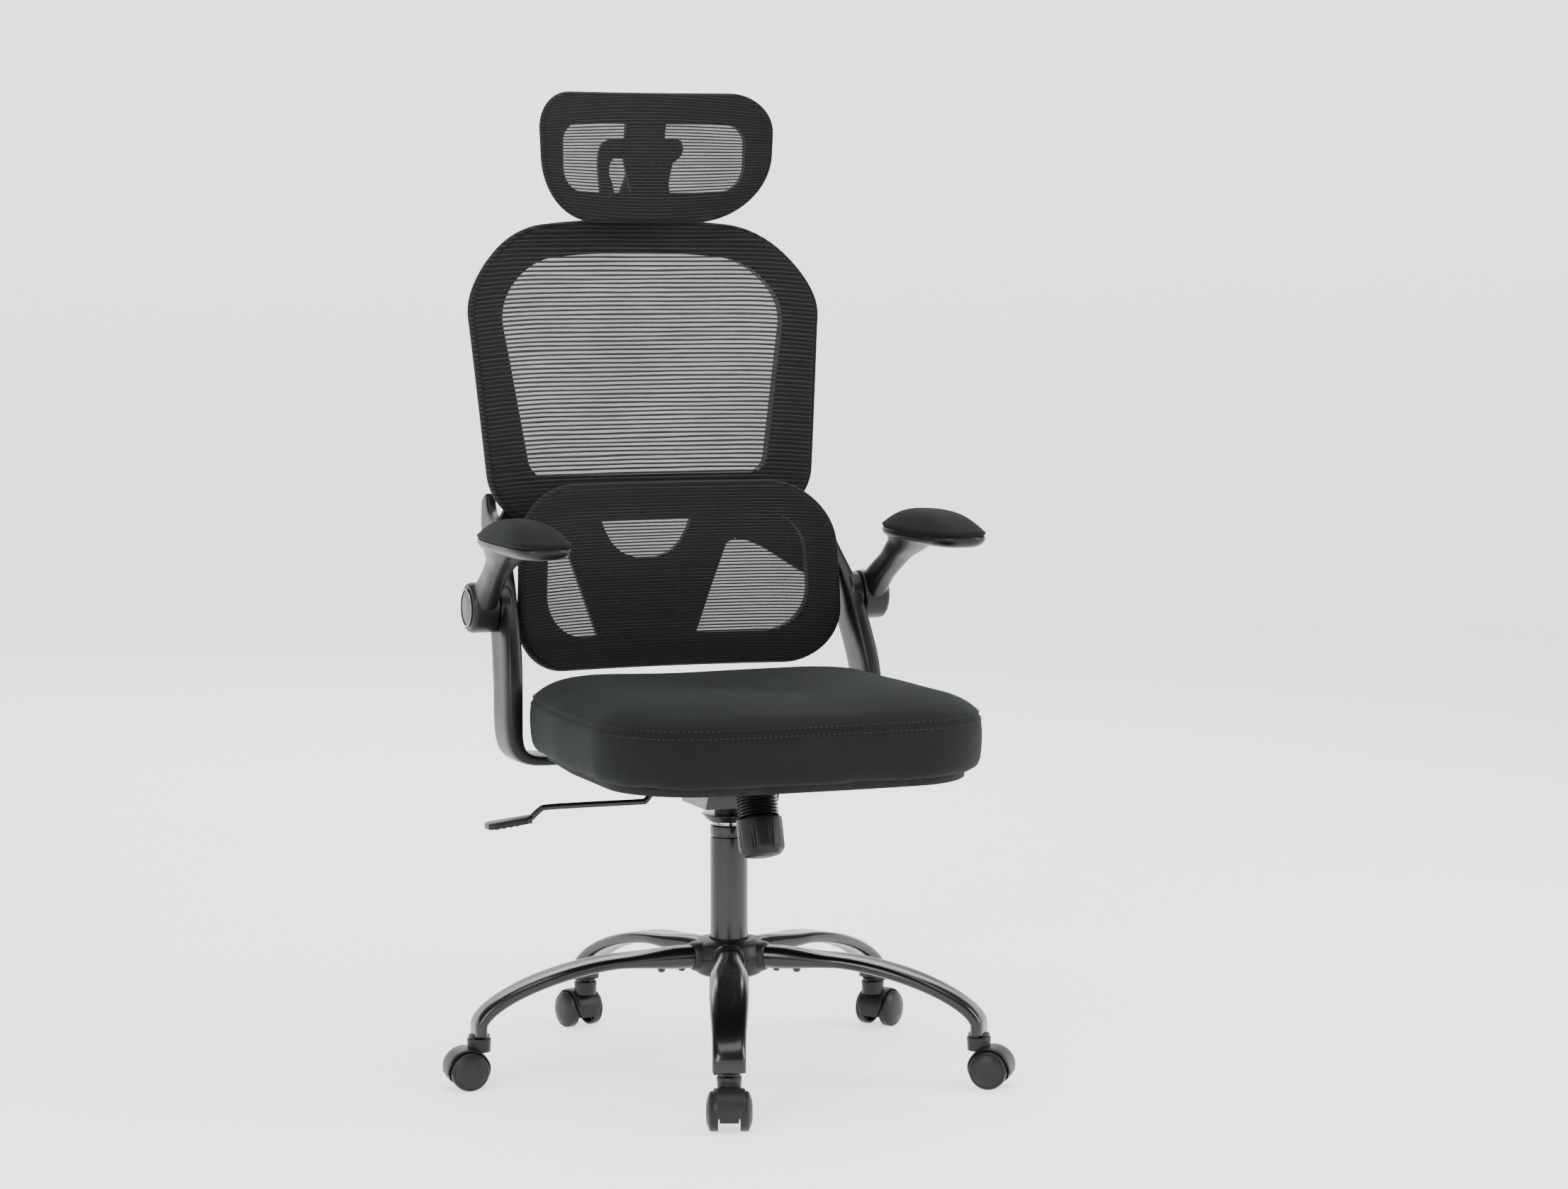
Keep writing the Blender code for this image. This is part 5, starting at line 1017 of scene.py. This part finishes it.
def plate(bm, outline, holes, depth_at, front, thickness, cell=0.012):
    """A moulded frame that follows a curved surface, with openings; `front` is its set-back."""
    points = [Vector(p) for p in outline]
    edges = [(i, (i + 1) % len(outline)) for i in range(len(outline))]
    for hole in holes:
        first = len(points)
        points += [Vector(p) for p in hole]
        edges += [(first + i, first + (i + 1) % len(hole)) for i in range(len(hole))]
    xs = [p.x for p in outline]
    zs = [p.y for p in outline]

    z = min(zs) + cell / 2
    while z < max(zs):
        x = min(xs) + cell / 2
        while x < max(xs):
            if within(outline, x, z) and not any(within(h, x, z) for h in holes):
                near = min([edge_distance(outline, x, z)] + [edge_distance(h, x, z) for h in holes])
                if near > cell * 0.35:
                    points.append(Vector((x, z)))
            x += cell
        z += cell
    verts, _, faces, *_ = delaunay_2d_cdt(points, edges, [], 0, 1e-6)
    kept = []
    for f in faces:
        c = sum((verts[i] for i in f), Vector((0, 0))) / len(f)
        if within(outline, c.x, c.y) and not any(within(h, c.x, c.y) for h in holes):
            kept.append(f)
    fronts = [bm.verts.new((COLUMN.x + v.x, depth_at(v.x, v.y) + front, v.y)) for v in verts]
    backs = [bm.verts.new((COLUMN.x + v.x, depth_at(v.x, v.y) + front + thickness, v.y)) for v in verts]
    uses = {}
    for f in kept:
        bm.faces.new([fronts[i] for i in f])
        bm.faces.new([backs[i] for i in reversed(f)])
        for a, b in zip(f, f[1:] + f[:1]):
            uses.setdefault(frozenset((a, b)), []).append((a, b))
    for pair in uses.values():
        if len(pair) == 1:
            a, b = pair[0]
            bm.faces.new((fronts[b], fronts[a], backs[a], backs[b]))
    bmesh.ops.delete(bm, geom=[v for v in bm.verts if not v.link_faces], context="VERTS")


def four_sided(low, high, arc_points, longest):
    """A rounded outline about X = 0 from its lower and upper (half width, height, corner radius)."""
    (x0, z0, r0), (x1, z1, r1) = low, high
    corners = [(-x0, z0, r0), (x0, z0, r0), (x1, z1, r1), (-x1, z1, r1)]
    return spread(rounded_outline(corners, arc_points), longest)


def mirrored(points):
    """A whole outline about X = 0 from the points of one half."""
    half = [Vector(p) for p in points]
    return half + [Vector((-p.x, p.y)) for p in reversed(half)]


def arched(outline):
    """The back's top edge rises to its middle."""
    return [Vector((p.x, p.y + (0.004 - 0.42 * p.x * p.x) * eased((p.y - 0.96) / 0.14))) for p in outline]


# back
BACK = arched(four_sided((0.232, 0.712, 0.075), (0.266, 1.126, 0.120), 20, 0.02))
WINDOW = arched(four_sided((0.172, 0.775, 0.026), (0.220, 1.079, 0.085), 16, 0.02))
bm = bmesh.new()
inner = arched(four_sided((0.229, 0.715, 0.073), (0.263, 1.123, 0.117), 20, 0.02))
plate(bm, inner, [WINDOW], back_depth, 0.0022, 0.0195)
apron = mirrored([(-0.205, 0.742), (-0.232, 0.700), (-0.240, 0.640), (-0.236, 0.628), (-0.222, 0.634),
                  (-0.196, 0.652), (-0.172, 0.668), (-0.150, 0.678), (-0.130, 0.682), (-0.118, 0.676),
                  (-0.094, 0.610), (-0.069, 0.540), (-0.060, 0.536)])
bowl = mirrored([(-0.066, 0.7115), (-0.061, 0.698), (-0.051, 0.680), (-0.036, 0.666), (-0.016, 0.659)])


def apron_depth(x, z):
    return COLUMN.y + 0.3345 - 0.55 * max(0.0, abs(x) - 0.10) * abs(x) * 1.6


plate(bm, spread(apron, 0.02), [spread(bowl, 0.02)], apron_depth, 0.0, 0.0110)
# the headrest's guide: a front wall with a tongue, two sides and a rear wall
POST_Y = COLUMN.y + 0.4165
guide_left, guide_right = COLUMN.x - 0.036, COLUMN.x + 0.036
guide_low, guide_high = 1.0865, 1.119
guide_front, guide_rear = back_depth(0, 1.09) + 0.012, COLUMN.y + 0.4275
post_front = POST_Y - 0.0069
block(bm, (guide_left, guide_front, guide_low), (guide_right, post_front, guide_high), 0.003)
block(bm, (guide_left, post_front - 0.004, guide_low), (COLUMN.x - 0.0249, guide_rear, guide_high), 0.0015)
block(bm, (COLUMN.x + 0.0249, post_front - 0.004, guide_low), (guide_right, guide_rear, guide_high), 0.0015)
block(bm, (guide_left, COLUMN.y + 0.4234, guide_low), (guide_right, guide_rear, guide_high), 0.0015)
block(bm, (COLUMN.x - 0.0200, post_front - 0.0045, 1.088),
      (COLUMN.x + 0.0200, post_front + 0.0002, 1.1415), 0.001)
finish("back_rim_moulding", bm, SATIN, "seat", "plastic", 35, ["back_frame"])
cloth("back", "seat", BACK, WINDOW, back_depth, 0.7125, 1.1295, 0.011, (BACK_NET, BACK_WRAP), 0.0061, 84,
      lambda x, z: 0.030 * max(0.0, abs(x) / 0.25 - 0.55) ** 2 * -1.0)
edge_roll("back", "seat", BACK, back_depth, 0.011, 0.0155, BACK_WRAP)

# lumbar support
LUMBAR = four_sided((0.236, 0.517, 0.075), (0.226, 0.770, 0.090), 18, 0.02)
OPENING = four_sided((0.192, 0.5625, 0.060), (0.184, 0.728, 0.055), 14, 0.02)
bm = bmesh.new()
inner = four_sided((0.233, 0.520, 0.072), (0.223, 0.767, 0.088), 18, 0.02)
plate(bm, inner, [OPENING], lumbar_depth, 0.0022, 0.0140)
arm_front = lumbar_depth(0, 0.54) + 0.008
apron_face = COLUMN.y + 0.3325
block(bm, (COLUMN.x - 0.045, arm_front, 0.5285), (COLUMN.x + 0.045, apron_face - 0.003, 0.554), 0.003)
block(bm, (COLUMN.x - 0.045, apron_face - 0.009, 0.5285), (COLUMN.x + 0.045, apron_face, 0.640), 0.003)
finish("lumbar_rim_moulding", bm, SATIN, "lumbar", "plastic", 35, ["lumbar_frame"])
cloth("lumbar", "lumbar", LUMBAR, OPENING, lumbar_depth, 0.5175, 0.7695, 0.010, (LUMBAR_NET, LUMBAR_WRAP),
      0.0043, 76, lambda x, z: -0.020 * max(0.0, abs(x) / 0.23 - 0.5) ** 2)
edge_roll("lumbar", "lumbar", LUMBAR, lumbar_depth, 0.010, 0.0105, LUMBAR_WRAP)

# headrest
HEAD_MID = 1.2155
HEAD = four_sided((0.163, 1.125, 0.096), (0.171, 1.303, 0.052), 18, 0.016)
HEAD_WINDOW = four_sided((0.131, 1.1660, 0.036), (0.133, 1.2600, 0.026), 12, 0.016)
bm = bmesh.new()
inner = four_sided((0.160, 1.128, 0.093), (0.168, 1.300, 0.050), 18, 0.016)
plate(bm, inner, [HEAD_WINDOW], headrest_depth, 0.0022, 0.0125, 0.010)
bracket = [Vector(p) for p in (
    (-0.030, 1.262), (-0.030, 1.241), (-0.052, 1.240), (-0.062, 1.234), (-0.067, 1.222), (-0.068, 1.205),
    (-0.067, 1.164), (-0.047, 1.164), (-0.049, 1.178), (-0.053, 1.190), (-0.052, 1.205), (-0.046, 1.213),
    (-0.031, 1.214), (-0.022, 1.164), (0.034, 1.164), (0.033, 1.178), (0.040, 1.206), (0.053, 1.217),
    (0.056, 1.227), (0.052, 1.238), (0.044, 1.240), (0.028, 1.241), (0.028, 1.262))]


def bracket_depth(x, z):
    return headrest_depth(0, z) + 0.0085 + 0.012 * max(0.0, 1 - ((z - HEAD_MID) / 0.05) ** 2)


plate(bm, spread(bracket, 0.008), [], bracket_depth, 0.0, 0.0085, 0.008)
hinge = Vector(JOINTS["headrest_tip"]["pos_m"])
LUG = 0.0088
for near, far in ((-0.0205, -0.0145), (0.0145, 0.0205)):
    block(bm, (hinge.x + near, headrest_depth(0, hinge.z) + 0.012, hinge.z - LUG),
          (hinge.x + far, hinge.y + LUG, hinge.z + LUG), 0.002)
finish("headrest_rim_moulding", bm, SATIN, "headrest", "plastic", 35, ["headrest_frame"])
cloth("headrest", "headrest", HEAD, HEAD_WINDOW, headrest_depth, 1.1255, 1.3025, 0.009, (HEAD_NET, HEAD_WRAP),
      0.0045, 64, lambda x, z: (0.030 * (abs(x) / 0.17) ** 2 * (z - HEAD_MID) / 0.0875 * -0.6))
edge_roll("headrest", "headrest", HEAD, headrest_depth, 0.009, 0.0100, HEAD_WRAP)

# post: a flat bar in the guide that curves forward to the hinge
knots = [(COLUMN.x, POST_Y - ahead, z) for ahead, z in ((0, 1.0855), (0, 1.096), (0, 1.116), (0.001, 1.138),
                                                        (0.013, 1.166), (0.034, 1.188))]
path = smooth_path(knots + [(hinge.x, hinge.y + 0.004, hinge.z - 0.004)], 8)
rings = []
for i, p in enumerate(path):
    out = heading(path, i).cross(X_AXIS).normalized()
    slim = blend(0.0475, 0.0280, eased((p.z - 1.125) / 0.055))
    rings.append(placed(oval(slim, 0.0118, 28, 5.0), p, X_AXIS, out))
at_hinge = Matrix.Translation(hinge) @ CROSSWISE
bm = bmesh.new()
skin(bm, rings)
spun(bm, softened([(0, -0.0140), (LUG, -0.0140), (LUG, 0.0140), (0, 0.0140)], 0.0008), 40, at_hinge)
finish("curved_post", bm, SATIN, "headrest_slide", "plastic", 40, ["headrest_post"])
pin = [(0, -0.0225), (0.0040, -0.0225), (0.0042, -0.0208), (0.0030, -0.0204), (0.0030, 0.0204),
       (0.0042, 0.0208), (0.0040, 0.0225), (0, 0.0225)]
turned("hinge_pin", pin, 0.0004, 24, at_hinge, STEEL, "headrest", "steel")

# ------------------------------------------------------------------ uprights
for side, label in ((1, "left"), (-1, "right")):
    flip = TO_CENTRE @ Matrix.Scale(side, 4, X_AXIS)
    foot_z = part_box(f"upright_{label}")[0].z + 0.0082
    y0 = COLUMN.y
    tip_y = y0 + 0.330 - 0.55 * 0.222 ** 2 + 0.0025 + 0.020 + 0.034
    # each knot: place, then depth and thickness of the section
    knots = [(x, y0 + back, z, deep, thick) for x, back, z, deep, thick in (
        (0.150, 0.150, foot_z, 0.060, 0.0145), (0.172, 0.150, foot_z, 0.064, 0.0145),
        (0.195, 0.150, foot_z, 0.068, 0.0145), (0.218, 0.150, foot_z + 0.0005, 0.071, 0.0150),
        (0.2370, 0.150, foot_z + 0.0030, 0.073, 0.0165), (0.2500, 0.1505, foot_z + 0.0110, 0.074, 0.0210),
        (0.2565, 0.151, foot_z + 0.026, 0.074, 0.0235), (0.2580, 0.152, foot_z + 0.052, 0.074, 0.0255),
        (0.2575, 0.154, foot_z + 0.082, 0.074, 0.0260), (0.2560, 0.160, 0.522, 0.073, 0.0260),
        (0.2520, 0.180, 0.566, 0.072, 0.0255), (0.2480, 0.208, 0.610, 0.070, 0.0240),
        (0.2425, 0.238, 0.648, 0.062, 0.0220))]
    knots += [(0.2355, tip_y - 0.092, 0.684, 0.054, 0.0200), (0.2290, tip_y - 0.030, 0.712, 0.038, 0.0165),
              (0.2230, tip_y - 0.002, 0.745, 0.024, 0.0150)]
    rows = smooth_path([k[:3] for k in knots], 5)
    sizes = smooth_path([k[3:] for k in knots], 5)
    rings = []
    for i, (p, (deep, thick)) in enumerate(zip(rows, sizes)):
        along = heading(rows, i) if i else X_AXIS
        front = (Y_AXIS - along * Y_AXIS.dot(along)).normalized()
        out = along.cross(front).normalized()
        groove = 0.0016 * eased((p.z - 0.47) / 0.05) * (1 - eased((p.z - 0.60) / 0.05))
        section = []
        for a, b in oval(deep, thick, 40, 4.2):
            if b < 0:
                b += groove * max(0.0, 1 - (a / 0.010) ** 2)
            section.append((a, b))
        rings.append([flip @ q for q in placed(section, p, front, out)])
    bm = bmesh.new()
    skin(bm, rings)
    pivot = PIVOT[label]
    face_x = abs(pivot.x - COLUMN.x)
    boss = [(0, face_x - 0.018), (0.0300, face_x - 0.018), (0.0320, face_x - 0.015),
            (0.0322, face_x - 0.0022), (0.0305, face_x - 0.0004), (0, face_x - 0.0004)]
    across = Matrix.Translation((0, pivot.y, pivot.z)) @ CROSSWISE
    spun(bm, softened(boss, 0.001), 64, flip @ across)
    finish(f"moulded_upright_{label}", bm, SATIN, "seat", "plastic", 45, [f"upright_{label}"])

# plywood board under the cushion, in a black dust cover
board_low, board_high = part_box("seat_board")
bm = bmesh.new()
board = from_level(board_low.z, ((0.0002, 0.0330), (0.0, 0.0260), (0.0, 0.0225), (0.0006, 0.0215)))
rings = [[Vector((p.x, p.y, z)) for p in drawn_in(amount)] for z, amount in board]
rings.append([Vector((p.x, p.y, board_high.z)) for p in drawn_in(0.0215)])
skin(bm, rings)
finish("covered_board", bm, COVER, "seat", "plywood", 60, ["seat_board"])

# ------------------------------------------------------------------ stage, light, camera
bm = bmesh.new()
rings = []
cove = [(7.4 + 1.6 * math.sin(a), 1.6 - 1.6 * math.cos(a)) for a in (math.pi / 2 * i / 12 for i in range(13))]
for radius, z in [(0.02, 0.0), (1.5, 0.0), (4.5, 0.0)] + cove + [(9.0, 3.4)]:
    rings.append([Vector((radius * math.cos(w), radius * math.sin(w), z - 0.0003)) for w in around(96)])
skin(bm, rings, caps=False)
bmesh.ops.contextual_create(bm, geom=bm.verts[:96])
stage = Nodes("studio_white", (0.80, 0.805, 0.805), 0.85)
stage.link(stage.mix(stage.noise(stage.coords(), 1.3, 2.0), (0.79, 0.795, 0.795), (0.82, 0.825, 0.825)),
           stage.shader.inputs["Base Color"])
stage.set("Emission Color", (0.97, 0.985, 0.985, 1.0))
stage.set("Emission Strength", 1.25)
floor = joined("studio_floor", bm, stage.mat)

world = bpy.data.worlds.new("studio_world")
bpy.context.scene.world = world
world.use_nodes = True
world.node_tree.nodes["Background"].inputs["Color"].default_value = (0.96, 0.985, 0.99, 1.0)
world.node_tree.nodes["Background"].inputs["Strength"].default_value = 0.30


def softbox(name, place, target, size, power):
    light = bpy.data.lights.new(name, "AREA")
    light.shape = "RECTANGLE"
    light.size, light.size_y = size
    light.energy = power
    light.color = (0.98, 0.995, 1.0)
    obj = bpy.data.objects.new(name, light)
    bpy.context.scene.collection.objects.link(obj)
    obj.location = place
    obj.rotation_euler = (Vector(target) - Vector(place)).to_track_quat("-Z", "Y").to_euler()


softbox("softbox_left", (-3.0, -2.6, 2.4), (0, 0, 0.7), (1.6, 2.4), 130)
softbox("softbox_right", (3.0, -1.6, 2.2), (0, 0, 0.7), (1.4, 2.4), 110)
softbox("softbox_top", (0.0, -0.3, 3.6), (0, 0, 0.0), (3.0, 3.0), 120)
softbox("softbox_back", (0.6, 3.4, 2.6), (0, 2.5, 0.3), (4.0, 1.2), 90)

camera_data = bpy.data.cameras.new("studio_camera")
camera_data.sensor_width = 36.0
camera_data.lens = 89.3
camera_data.clip_end = 60.0
camera = bpy.data.objects.new("studio_camera", camera_data)
bpy.context.scene.collection.objects.link(camera)
AWAY, EYE_HEIGHT, PITCH, ROUND = 5.1085, 1.1124, 0.0931, math.radians(20)
camera.location = COLUMN + Vector((-AWAY * math.sin(ROUND), -AWAY * math.cos(ROUND), EYE_HEIGHT))
yaw = ROUND + 0.0143
look = Vector((math.sin(yaw) * math.cos(PITCH), math.cos(yaw) * math.cos(PITCH), -math.sin(PITCH)))
camera.rotation_euler = look.to_track_quat("-Z", "Y").to_euler()
bpy.context.scene.camera = camera
